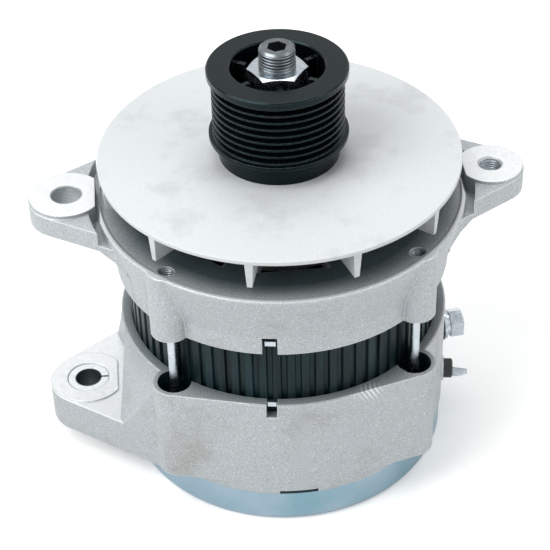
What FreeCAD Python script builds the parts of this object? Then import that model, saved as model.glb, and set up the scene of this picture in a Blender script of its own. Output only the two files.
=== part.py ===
import FreeCAD, Part
import os
import re
import sys
import Sketcher
from FreeCAD import Vector

# Alternator with a shaft-mounted disc fan and a multi-groove pulley.
# Frame: origin at the centre of the rear cover's resting face, +Z along the shaft
# towards the pulley, +X towards the threaded mounting ear.

os.makedirs("parts", exist_ok=True)
doc = FreeCAD.newDocument("alternator")
sheet = doc.addObject("Spreadsheet::Sheet", "Sizes")

# Driving dimensions in millimetres and degrees
SIZES = [
    ("seat_slip", 0.02, "radial slip of a press or slide seat inside one body"),
    ("run_slip", 0.08, "radial play of a rolling or sliding pair"),
    # Heights along the shaft
    ("cover_depth", 18.0, "rear cover, from its resting face to its rim"),
    ("rear_height", 57.5, "rear bracket, from the cover rim to its own rim"),
    ("stack_gap", 31.0, "bare stator between the two brackets"),
    ("front_height", 35.5, "front bracket, from its rim to its lip"),
    ("seat_depth", 10.0, "stator seat in each bracket"),
    ("floor_lift", 2.0, "rear bracket floor above the cover rim"),
    ("floor_thick", 5.0, "rear bracket floor"),
    ("deck_gap", 16.5, "front deck above the stator core"),
    ("deck_thick", 5.0, "front bracket deck"),
    ("hub_rise", 4.0, "rear hub above its bearing"),
    ("hub_shoulder", 5.0, "front hub above its bearing"),
    ("fan_rise", 20.0, "fan face above the lip"),
    ("thread_proud", 10.0, "shaft thread above the nut"),
    # Brackets
    ("shell_rad", 79.3, "outer radius of both bracket walls"),
    ("wall_thick", 5.0, "bracket wall"),
    ("shoulder_wide", 2.5, "shoulder that the stator core sits on"),
    ("lip_flare", 7.2, "front lip beyond the wall"),
    ("lip_wide", 1.9, "machined land on the lip"),
    ("bowl_drop", 2.4, "fall of the bowl surface inside the lip"),
    ("window_inner", 44.0, "inner radius of the air windows"),
    ("window_rim", 6.3, "floor left outside the rear air windows"),
    ("bowl_wide", 11.8, "bowl left outside the front air windows"),
    ("window_half", 15.0, "half angle of an air window"),
    ("window_count", 8, "air windows in each bracket"),
    ("front_hub_rad", 38.0, "outer radius of the front bearing hub"),
    ("front_eye_rad", 21.0, "opening above the front bearing"),
    ("rear_hub_rad", 36.0, "outer radius of the rear bearing hub"),
    # Through bolts
    ("bolt_inset", 0.1, "through bolt circle inside the wall's outer radius"),
    ("bolt_angle", 45.0, "angle of the first through bolt"),
    ("bolt_count", 4, "through bolts"),
    ("bolt_rad", 2.5, "thread radius of a through bolt"),
    ("shank_rad", 2.2, "reduced shank radius of a through bolt"),
    ("bolt_head_flat", 8.0, "through bolt head across flats"),
    ("bolt_head_high", 4.0, "through bolt head height"),
    ("bolt_end_drop", 7.6, "bolt end below the lip"),
    ("column_rad", 10.3, "rear bracket bolt column"),
    ("column_low", 6.0, "column foot above the cover rim"),
    ("pocket_rad", 8.0, "open pocket round a bolt in the rear bracket"),
    ("pocket_floor", 14.0, "pocket floor above the cover rim"),
    ("boss_rad", 9.0, "front bracket bolt boss"),
    ("web_turn", 28.0, "angle from a bolt to where its web meets the wall"),
    # Mounting ears
    ("hinge_outset", 20.0, "left ear bores beyond the wall"),
    ("hinge_bore", 7.0, "radius of the front left ear bore"),
    ("hinge_ear_rad", 17.8, "end radius of the front left ear"),
    ("strap_outset", 19.7, "right ear bore beyond the wall"),
    ("strap_bore", 5.1, "thread core radius of the right ear bore"),
    ("strap_mouth", 6.0, "countersunk mouth radius of the right ear bore"),
    ("strap_ear_rad", 15.8, "end radius of the right ear"),
    ("ear_taper", 32.0, "slope of the ear sides"),
    ("ear_thick", 12.0, "front ears, over the machined boss"),
    ("ear_lift", 4.0, "machined boss of the front ears above the lip"),
    ("boss_step", 2.0, "machined boss above the ear web"),
    ("ear_groove", 4.0, "groove in the ear webs outside the lip"),
    ("ear_groove_deep", 7.0, "that groove below the ear web"),
    ("ear_slot", 1.7, "straight slot between an ear boss and the lip"),
    ("ear_slot_in", 2.1, "lip trimmed by the straight slot"),
    ("gusset_deep", 17.0, "gusset under a front ear"),
    ("gusset_half", 27.0, "half angle of that gusset"),
    ("foot_ear_rad", 19.0, "end radius of the rear left ear"),
    ("foot_ear_face", 15.0, "rear left ear face above the cover rim"),
    ("foot_ear_thick", 20.0, "rear left ear"),
    ("foot_ear_taper", 36.0, "slope of the rear left ear sides"),
    ("foot_step", 0.8, "spot face above the rear ear web"),
    ("foot_spot", 5.2, "straight edge of the spot face beyond the wall"),
    ("ledge_half", 8.0, "half width of the ledge where it meets the wall"),
    ("ledge_end", 34.0, "half width of the ledge at the spot face"),
    ("flare_out", 10.7, "flared wall at the ear face beyond the plain wall"),
    ("flare_half", 43.0, "half angle of the flared wall"),
    ("bush_rad", 10.0, "outer radius of the split bush"),
    ("bush_bore", 6.3, "bore radius of the split bush"),
    ("bush_slit", 1.2, "slit of the split bush"),
    ("bush_short", 3.0, "how much the bush is shorter than its ear"),
    ("edge_break", 0.6, "small machined chamfers"),
    # Notches, flank and vents of the brackets
    ("notch_angle", -99.4, "angle of the two index notches"),
    ("notch_front_half", 3.5, "half width of the front notch"),
    ("notch_rear_half", 2.5, "half width of the rear notch"),
    ("notch_front_deep", 9.7, "depth of the front notch"),
    ("notch_rear_deep", 7.5, "depth of the rear notch"),
    ("slot_angle", -90.8, "angle of the drain slot at the cover rim"),
    ("slot_half", 9.2, "half width of the drain slot"),
    ("slot_high", 2.5, "height of the drain slot"),
    ("port_angle", -32.2, "angle of the side port at the cover rim"),
    ("port_half", 3.3, "half width of the side port"),
    ("port_high", 11.5, "height of the side port"),
    ("flank_start", -64.5, "first edge of the raised flank"),
    ("flank_sweep", 14.5, "angle covered by the raised flank"),
    ("flank_proud", 0.9, "flank above the wall"),
    ("flank_low", 6.0, "flank foot above the cover rim"),
    ("flank_high", 51.0, "flank height"),
    ("pin_hole_rad", 1.5, "small hole in the flank"),
    ("pin_hole_angle", -59.2, "angle of the small hole"),
    ("pin_hole_height", 28.0, "small hole above the resting face"),
    # Stator
    ("core_cover", 4.8, "bracket wall outside the stator core"),
    ("core_bore", 52.0, "bore radius of the stator core"),
    ("flute_count", 72, "flutes on the core"),
    ("flute_half", 1.6, "half width of a flute"),
    ("flute_deep", 1.3, "depth of a flute"),
    ("slot_count", 36, "winding slots"),
    ("slot_width", 4.2, "width of a winding slot"),
    ("core_back", 7.0, "core left outside the winding slots"),
    ("coil_high", 13.5, "height of the end turns"),
    ("coil_inner", 53.6, "inner radius of the end turns"),
    ("coil_edge", 4.5, "core left outside the end turns"),
    ("coil_gap", 0.3, "slot insulation beside a conductor"),
    ("key_long", 2.6, "visible height of a stator key"),
    ("key_proud", 2.0, "stator key above the core"),
    # Rotor
    ("air_gap", 0.6, "gap between rotor and stator"),
    ("claw_count", 6, "claws on each pole piece"),
    ("claw_root_half", 13.5, "half width of a claw at its root"),
    ("claw_tip_half", 6.0, "half width of a claw at its tip"),
    ("claw_inner", 43.0, "inner radius of the claws"),
    ("pole_disc_rad", 40.0, "radius of the front pole disc"),
    ("pole_thick", 12.0, "thickness of a pole disc"),
    ("pole_ring_inner", 38.5, "inner radius of the rear pole ring"),
    ("join_thick", 3.0, "thickness of the joining ring"),
    ("join_long", 16.0, "length of the joining ring"),
    ("pole_spacer", 7.0, "spacer between pole and bearing"),
    ("spacer_rad", 17.5, "outer radius of the shaft spacers"),
    # Shaft
    ("shaft_tail", 10.0, "radius at the rear bearing"),
    ("shaft_core", 14.0, "radius inside the field core"),
    ("shaft_front", 12.5, "radius at the front bearing"),
    ("shaft_nose", 11.0, "radius under fan and pulley"),
    ("shaft_thread", 8.0, "thread radius"),
    ("shaft_gap", 1.0, "shaft end above the rear floor"),
    ("socket_flat", 8.0, "hexagon socket across flats"),
    ("socket_deep", 8.0, "hexagon socket depth"),
    ("key_width", 5.0, "pulley key width and height"),
    ("key_run", 18.0, "pulley key length"),
    # Bearings
    ("front_ring_rad", 31.0, "front bearing outer radius"),
    ("front_ring_wide", 17.0, "front bearing width"),
    ("front_ball", 5.75, "front bearing ball radius"),
    ("rear_ring_rad", 26.0, "rear bearing outer radius"),
    ("rear_ring_wide", 15.0, "rear bearing width"),
    ("rear_ball", 4.7625, "rear bearing ball radius"),
    ("ball_count", 7, "balls in each bearing"),
    ("retainer_thick", 3.0, "bearing retainer plate"),
    ("retainer_bolt", 34.4, "radius of the retainer screw circle"),
    # Field core and coil
    ("field_flange", 7.0, "field core flange"),
    ("field_tube", 25.0, "outer radius of the field core tube"),
    ("field_top_gap", 0.5, "field core below the front pole"),
    ("field_screw_circle", 31.0, "radius of the field core screw circle"),
    ("bobbin_lift", 4.5, "bobbin above the flange"),
    ("bobbin_rad", 36.5, "outer radius of the bobbin"),
    ("bobbin_wall", 1.5, "bobbin wall"),
    # Fan
    ("fan_inset", 2.6, "disc rim inside the lip"),
    ("fan_thick", 1.9, "disc thickness"),
    ("fan_hub_rad", 24.0, "hub radius"),
    ("fan_hub_high", 12.0, "hub height"),
    ("blade_count", 11, "blades"),
    ("blade_angle", -104.6, "angle of the first blade"),
    ("blade_inner", 32.0, "inner end of a blade"),
    ("blade_high", 13.2, "blade height"),
    ("blade_half", 1.9, "half thickness of a blade at the disc"),
    ("blade_draft", 3.2, "draft of the blades"),
    # Pulley
    ("pulley_high", 45.5, "overall height"),
    ("pulley_rad", 32.0, "flange radius"),
    ("pulley_base", 28.0, "base radius"),
    ("crest_rad", 30.1, "radius over the ribs"),
    ("groove_pitch", 3.56, "groove pitch"),
    ("groove_count", 8, "grooves"),
    ("groove_deep", 2.9, "groove depth"),
    ("groove_half", 1.35, "half width of a groove at the crest"),
    ("groove_root", 0.3, "half width of a groove at its root"),
    ("groove_first", 6.3, "first groove below the pulley face"),
    ("flange_thick", 3.2, "upper flange"),
    ("flange_low", 1.8, "lower flange"),
    ("recess_rad", 21.3, "recess round the nut"),
    ("recess_deep", 17.5, "recess depth"),
    ("rib_count", 6, "ribs in the recess"),
    ("rib_half", 1.0, "half thickness of a rib"),
    ("rib_inner", 15.6, "inner end of a rib"),
    ("rib_drop", 3.0, "rib top below the pulley face"),
    ("washer_thick", 2.2, "lock washer thickness"),
    ("washer_rad", 12.6, "lock washer radius"),
    ("nut_flat", 24.0, "pulley nut across flats"),
    ("nut_high", 14.8, "pulley nut height"),
    ("nut_angle", -3.0, "turn of the pulley nut"),
    # Rear cover and what it covers
    ("cover_inset", 0.7, "cover inside the bracket wall"),
    ("cover_round", 3.4, "bottom corner of the cover"),
    ("cover_sheet", 1.6, "sheet thickness"),
    ("cover_slots", 16, "air slots"),
    ("cover_slot_half", 2.2, "half width of an air slot"),
    ("cover_slot_inner", 30.0, "inner end of an air slot"),
    ("cover_slot_outer", 52.0, "outer end of an air slot"),
    ("dimple_rad", 7.0, "screw dimple"),
    ("dimple_deep", 3.6, "screw dimple depth"),
    ("pillar_inset", 10.3, "pillar circle inside the wall"),
    ("pillar_angle", 22.5, "angle of the first pillar"),
    ("pillar_rad", 4.5, "pillar radius"),
    ("small_thread", 2.5, "small screw thread radius"),
    ("small_head", 4.6, "small screw head radius"),
    ("sink_thick", 3.0, "heat sink plate"),
    ("sink_inner", 38.0, "inner radius of the heat sinks"),
    ("sink_inset", 2.8, "heat sinks inside the wall"),
    ("sink_sweep", 310.0, "angle covered by the heat sinks"),
    ("sink_low", 6.0, "positive plate above the resting face"),
    ("diode_rad", 6.35, "diode body radius"),
    ("diode_high", 8.0, "diode body height"),
    ("diode_circle", 54.0, "radius of the diode circle"),
    ("diode_first", 45.0, "angle of the first positive diode"),
    ("diode_step", 90.0, "angle between like diodes"),
    ("diode_count", 3, "diodes on each plate"),
    ("screw_bite", 4.0, "small screws into the rear floor"),
    ("regulator_inner", 34.0, "inner end of the regulator"),
    ("regulator_inset", 8.3, "regulator inside the wall"),
    ("regulator_half", 13.0, "half width of the regulator"),
    ("regulator_high", 10.0, "regulator height"),
    # Terminals
    ("output_angle", 6.0, "angle of the output stud"),
    ("output_height", 42.0, "output stud above the resting face"),
    ("output_stud_rad", 4.0, "output stud thread radius"),
    ("output_bush_rad", 6.0, "insulating bush radius in the wall"),
    ("output_pad_rad", 10.0, "raised pad on the wall"),
    ("pad_proud", 0.7, "raised pads above the wall"),
    ("output_flange_rad", 8.2, "outer flange of the insulator"),
    ("output_flange", 1.8, "flange thickness"),
    ("output_nut_flat", 13.0, "output nut across flats"),
    ("output_nut_high", 6.5, "output nut height"),
    ("output_washer", 1.5, "flat washer thickness"),
    ("output_spring", 2.0, "spring washer thickness"),
    ("output_proud", 1.2, "stud beyond its nut"),
    ("output_head", 5.0, "output stud head height"),
    ("strap_thick", 1.5, "copper strap thickness"),
    ("strap_half", 5.0, "copper strap half width"),
    ("phase_angle", -9.0, "angle of the phase terminal"),
    ("phase_height", 31.0, "phase terminal above the resting face"),
    ("phase_rad", 4.9, "phase insulator radius"),
    ("phase_neck", 3.2, "phase insulator neck in the wall"),
    ("phase_proud", 4.6, "phase insulator beyond its pad"),
    ("blade_wide", 6.3, "flat blade width"),
    ("blade_thin", 0.8, "flat blade thickness"),
    ("blade_reach", 7.5, "flat blade beyond the insulator"),
]

# Places worked out from the driving dimensions
PLACES = {
    "rear_rim": "cover_depth + rear_height",
    "front_rim": "rear_rim + stack_gap",
    "lip_top": "front_rim + front_height",
    "core_low": "rear_rim - seat_depth",
    "core_high": "front_rim + seat_depth",
    "core_seat": "core_rad + seat_slip * 2",
    "floor_low": "cover_depth + floor_lift",
    "floor_high": "floor_low + floor_thick",
    "rear_ring_high": "floor_high + rear_ring_wide",
    "rear_hub_high": "rear_ring_high + hub_rise",
    "deck_low": "core_high + deck_gap",
    "deck_high": "deck_low + deck_thick",
    "front_ring_low": "deck_high - front_ring_wide",
    "shoulder_high": "deck_high + hub_shoulder",
    "inner_rad": "shell_rad - wall_thick",
    "lip_rad": "shell_rad + lip_flare",
    "core_rad": "shell_rad - core_cover",
    "slot_bottom": "core_rad - core_back",
    "coil_outer": "core_rad - coil_edge",
    "fan_rad": "lip_rad - fan_inset",
    "cover_rad": "shell_rad - cover_inset",
    "bolt_circle": "shell_rad - bolt_inset",
    "pillar_circle": "inner_rad - pillar_inset",
    "sink_outer": "inner_rad - sink_inset",
    "regulator_outer": "inner_rad - regulator_inset",
    "window_outer": "inner_rad - window_rim",
    "hinge_reach": "shell_rad + hinge_outset",
    "strap_reach": "shell_rad + strap_outset",
    "ear_slot_edge": "lip_rad - ear_slot_in",
    "ear_boss_edge": "ear_slot_edge + ear_slot",
    "ear_groove_floor": "ear_web - ear_groove_deep",
    "gusset_foot": "ear_low - gusset_deep",
    "foot_ear_root": "shell_rad - foot_ear_rad",
    "flare_rad": "shell_rad + flare_out",
    "shoulder_rad": "core_rad - shoulder_wide",
    "fan_top": "lip_top + fan_rise",
    "fan_hub_low": "fan_top - fan_hub_high",
    "fan_under": "fan_top - fan_thick",
    "pulley_top": "fan_top + pulley_high",
    "nut_seat": "pulley_top - recess_deep",
    "nut_low": "nut_seat + washer_thick",
    "nut_top": "nut_low + nut_high",
    "shaft_top": "nut_top + thread_proud",
    "pole_top": "front_ring_low - pole_spacer",
    "pole_under": "pole_top - pole_thick",
    "pole_low": "core_low + core_high - pole_top",
    "pole_rad": "core_bore - air_gap",
    "front_pitch": "(front_ring_rad + shaft_front) / 2",
    "rear_pitch": "(rear_ring_rad + shaft_tail) / 2",
    "field_flange_top": "rear_hub_high + field_flange",
    "field_top": "pole_under - field_top_gap",
    "bobbin_low": "field_flange_top + bobbin_lift",
    "ear_top": "lip_top + ear_lift",
    "ear_low": "ear_top - ear_thick",
    "ear_web": "ear_top - boss_step",
    "foot_face": "cover_depth + foot_ear_face",
    "foot_low": "foot_face - foot_ear_thick",
    "foot_web": "foot_face - foot_step",
    "column_foot": "cover_depth + column_low",
    "bolt_end": "lip_top - bolt_end_drop",
    "dimple_top": "dimple_deep + cover_sheet",
    "sink_high": "floor_low - sink_thick",
    "output_face": "shell_rad + pad_proud",
    "output_washer_low": "output_face + output_flange",
    "output_spring_low": "output_washer_low + output_washer",
    "output_nut_low": "output_spring_low + output_spring",
    "output_nut_top": "output_nut_low + output_nut_high",
    "phase_tip": "output_face + phase_proud",
    "strap_out": "window_outer * cos(window_half) - 2",
}

for row, (alias, value, note) in enumerate(SIZES, start=1):
    sheet.set(f"A{row}", note)
    sheet.set(f"B{row}", str(value))
    sheet.setAlias(f"B{row}", alias)
doc.recompute()

ALIASES = {alias for alias, value, note in SIZES}
ALL_ROUND = 360


def bare(text):
    """An expression with every worked-out place replaced by the sizes behind it."""
    def swap(match):
        word = match.group(0)
        return "(" + bare(PLACES[word]) + ")" if word in PLACES else word
    return re.sub(r"[a-z]+(?:_[a-z]+)+", swap, str(text))


def bound(text):
    """The same expression as an object outside the sheet reads it."""
    def swap(match):
        word = match.group(0)
        return "Sizes." + word if word in ALIASES else word
    return re.sub(r"[a-z]+(?:_[a-z]+)+", swap, bare(text))


def number(text):
    """Today's value of an expression."""
    value = sheet.evalExpression(bare(text))
    return float(getattr(value, "Value", value))


def turned(along, across, angle):
    """A point given along and across a ray at an angle, as two expressions."""
    east = f"({along}) * cos({angle}) - ({across}) * sin({angle})"
    north = f"({along}) * sin({angle}) + ({across}) * cos({angle})"
    return east, north


def hexagon(flats, angle=0):
    """Six corners of a hexagon of a given width across its flats."""
    reach = f"({flats}) / 2 / cos(30)"
    return [turned(reach, 0, f"{angle} + {60 * step}") for step in range(6)]


def mirrored(corners):
    """Corners on one side of the X axis, closed by their mirror images."""
    return corners + [(east, f"-({north})") for east, north in reversed(corners)]


def new_body(label):
    body = doc.addObject("PartDesign::Body", label)
    body.Label = label
    return body


def new_sketch(body, role, lift=0):
    """A sketch on one of the body's own planes, lifted along its normal."""
    sketch = body.newObject("Sketcher::SketchObject", body.Name + "_sketch")
    plane = next(item for item in body.Origin.OriginFeatures if item.Role == role)
    sketch.AttachmentSupport = [(plane, "")]
    sketch.MapMode = "FlatFace"
    sketch.setExpression("AttachmentOffset.Base.z", bound(lift))
    return sketch


def hold(sketch, kind, places, text, value):
    """A driving constraint bound to the sheet."""
    index = sketch.addConstraint(Sketcher.Constraint(kind, *places, value))
    sketch.setExpression(f"Constraints[{index}]", bound(text))


def draw_outline(sketch, corners):
    """A closed outline of straight lines with every corner bound to the sheet."""
    points = [Vector(number(east), number(north), 0) for east, north in corners]
    first = sketch.GeometryCount
    count = len(points)
    for index in range(count):
        sketch.addGeometry(Part.LineSegment(points[index], points[(index + 1) % count]), False)
    for index in range(count):
        after = first + (index + 1) % count
        sketch.addConstraint(Sketcher.Constraint("Coincident", first + index, 2, after, 1))
    for index, (east, north) in enumerate(corners):
        hold(sketch, "DistanceX", (-1, 1, first + index, 1), east, points[index].x)
        hold(sketch, "DistanceY", (-1, 1, first + index, 1), north, points[index].y)


def draw_circle(sketch, centre, radius):
    """A circle with its centre and radius bound to the sheet."""
    east, north = centre
    middle = Vector(number(east), number(north), 0)
    index = sketch.addGeometry(Part.Circle(middle, Vector(0, 0, 1), number(radius)), False)
    hold(sketch, "DistanceX", (-1, 1, index, 3), east, middle.x)
    hold(sketch, "DistanceY", (-1, 1, index, 3), north, middle.y)
    hold(sketch, "Radius", (index,), radius, number(radius))


def turn_profile(body, corners, kind="Revolution", sweep=ALL_ROUND, both_ways=False, axis="V_Axis"):
    """Turn an outline of radius and height corners about the shaft axis."""
    sketch = new_sketch(body, "XZ_Plane")
    draw_outline(sketch, corners)
    turn = body.newObject("PartDesign::" + kind, f"{body.Name}_{kind}")
    turn.Profile = sketch
    turn.ReferenceAxis = (sketch, [axis])
    turn.Midplane = both_ways
    turn.setExpression("Angle", bound(sweep))
    body.Tip = turn
    return turn


def extrude(body, kind, low, high, corners=None, circle=None, draft=None):
    """Add or cut a straight outline or a circle between two heights."""
    upwards = kind == "Pad"
    sketch = new_sketch(body, "XY_Plane", low if upwards else high)
    if corners:
        draw_outline(sketch, corners)
    if circle:
        draw_circle(sketch, *circle)
    feature = body.newObject("PartDesign::" + kind, f"{body.Name}_{kind}")
    feature.Profile = sketch
    feature.setExpression("Length", bound(f"({high}) - ({low})"))
    if draft:
        feature.setExpression("TaperAngle", bound(draft))
    body.Tip = feature
    return feature


def pad(body, low, high, **outline):
    return extrude(body, "Pad", low, high, **outline)


def pocket(body, low, high, **outline):
    return extrude(body, "Pocket", low, high, **outline)


def around(body, features, count, span=None):
    """Repeat features about the shaft axis, all round or over a span of angle."""
    pattern = body.newObject("PartDesign::PolarPattern", body.Name + "_pattern")
    pattern.Originals = features
    pattern.Axis = (features[0].Profile[0], ["N_Axis"])
    pattern.setExpression("Angle", bound(span if span else ALL_ROUND))
    pattern.setExpression("Occurrences", bound(count))
    body.Tip = pattern
    return pattern


def break_edges(body, rims, size):
    """Chamfer the circular edges named by radius, height and centre."""
    doc.recompute()
    base = body.Tip
    names = []
    for radius, height, east in rims:
        place = Vector(number(east), 0, number(height))
        for index, edge in enumerate(base.Shape.Edges, start=1):
            curve = edge.Curve
            if not isinstance(curve, Part.Circle):
                continue
            if abs(curve.Radius - number(radius)) < 0.001 and curve.Center.distanceToPoint(place) < 0.001:
                names.append(f"Edge{index}")
    chamfer = body.newObject("PartDesign::Chamfer", body.Name + "_chamfer")
    chamfer.Base = (base, names)
    chamfer.setExpression("Size", bound(size))
    body.Tip = chamfer
    return chamfer


def place_on_ray(item, angle, height=0, lean=None):
    """Turn an item about the shaft axis and lift it; lean lays a cylinder along the ray."""
    rotation = f"rotation(vector(0; 0; 1); {bound(angle)})"
    if lean:
        rotation += " * rotation(vector(0; 1; 0); 90)"
    item.setExpression("Placement", f"placement(vector(0; 0; {bound(height)}); {rotation})")


def cylinder(name, radius, height, low=0, angle=0, sweep=ALL_ROUND):
    """A plain cylinder on the shaft axis, or a wedge of one."""
    item = doc.addObject("Part::Cylinder", name)
    item.setExpression("Radius", bound(radius))
    item.setExpression("Height", bound(height))
    item.setExpression("Angle", bound(sweep))
    place_on_ray(item, angle, low)
    return item


def radial_cylinder(name, radius, reach, angle, height):
    """A cylinder that lies along a ray out of the shaft axis."""
    item = doc.addObject("Part::Cylinder", name)
    item.setExpression("Radius", bound(radius))
    item.setExpression("Height", bound(reach))
    place_on_ray(item, angle, height, lean=True)
    return item


def joined(name, *items):
    item = doc.addObject("Part::MultiFuse", name)
    item.Shapes = list(items)
    return item


def less(name, base, tool):
    item = doc.addObject("Part::Cut", name)
    item.Base = base
    item.Tool = tool
    return item


def ear_sides(reach, radius, taper, root, side):
    """Plan of an ear between its end circle and its root on the body."""
    tip = f"{side} * ({reach} + {radius} * sin({taper}))"
    run = f"({reach} + {radius} * sin({taper}) - {root})"
    flank = f"({radius} * cos({taper}) + {run} * sin({taper}) / cos({taper}))"
    return mirrored([(f"{side} * {root}", f"-{flank}"), (tip, f"-{radius} * cos({taper})")])


def bolt_place(circle_radius, angle):
    return turned(circle_radius, 0, angle)


def bolt_webs(body, low, high, boss):
    """Flat webs that run the bolt bosses into the wall, on the sides away from the ears."""
    for angle, side in (("bolt_angle", 1), ("(bolt_angle + 90)", -1)):
        turn = f"({angle} + {side} * web_turn)"
        middle = bolt_place("bolt_circle", angle)
        near = turned(f"{boss} * 0.98", 0, turn)
        web = pad(body, low, high, corners=[
            middle,
            (f"{middle[0]} + {near[0]}", f"{middle[1]} + {near[1]}"),
            turned("shell_rad - 0.3", 0, turn),
            turned("shell_rad - wall_thick / 2", 0, turn),
        ])
        around(body, [web], 2)


def clear_beside(body, low, high, root, tip):
    """Cut away what stands outside the two sides of an ear."""
    for side in ("1", "-1"):
        pocket(body, low, high, corners=[
            (root[0], f"{side} * ({root[1]})"),
            (tip[0], f"{side} * ({tip[1]})"),
            (tip[0], f"-{side} * shell_rad * 1.5"),
            (root[0], f"-{side} * shell_rad * 1.5"),
        ])


def window(inner, outer, half):
    """Trapezoid air window centred on the X axis."""
    near = turned(inner, 0, half)
    far = turned(outer, 0, half)
    return [(near[0], f"-({near[1]})"), (far[0], f"-({far[1]})"), far, near]


def box_on_ray(inner, outer, half, angle):
    """A rectangle that lies along a ray."""
    return [turned(inner, f"-({half})", angle), turned(outer, f"-({half})", angle),
            turned(outer, half, angle), turned(inner, half, angle)]


NODES = []


def keep(item, label):
    """Name a finished sub-part."""
    item.Label = label
    NODES.append(item)
    return item


def rear_cover():
    """Pressed steel pan with air slots and sunk seats for its screws."""
    body = new_body("rear_cover")
    turn_profile(body, [
        (0, 0),
        ("cover_rad - cover_round", 0),
        ("cover_rad - cover_round * 0.3", "cover_round * 0.3"),
        ("cover_rad", "cover_round"),
        ("cover_rad", "cover_depth"),
        ("cover_rad - cover_sheet", "cover_depth"),
        ("cover_rad - cover_sheet", "cover_round"),
        ("cover_rad - cover_round", "cover_sheet"),
        (0, "cover_sheet"),
    ])
    seat = bolt_place("pillar_circle", "pillar_angle")
    cup = pad(body, 0, "dimple_top", circle=(seat, "dimple_rad + cover_sheet"))
    around(body, [cup], 4)
    dimple = pocket(body, 0, "dimple_deep", circle=(seat, "dimple_rad"))
    around(body, [dimple], 4)
    hole = pocket(body, 0, "dimple_top", circle=(seat, "small_thread + run_slip"))
    around(body, [hole], 4)
    slot = pocket(body, 0, "cover_sheet",
                  corners=box_on_ray("cover_slot_inner", "cover_slot_outer", "cover_slot_half", 0))
    around(body, [slot], "cover_slots")
    keep(body, "rear_cover")


def cover_screws():
    """Pan-head screws that hold the cover to the pillars."""
    body = new_body("cover_screws")
    seat = bolt_place("pillar_circle", "pillar_angle")
    head = pad(body, "0.5", "dimple_deep", circle=(seat, "small_head"))
    shank = pad(body, "dimple_deep", "floor_low - 4", circle=(seat, "small_thread"))
    around(body, [head, shank], 4)
    keep(body, "cover_screws")


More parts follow.
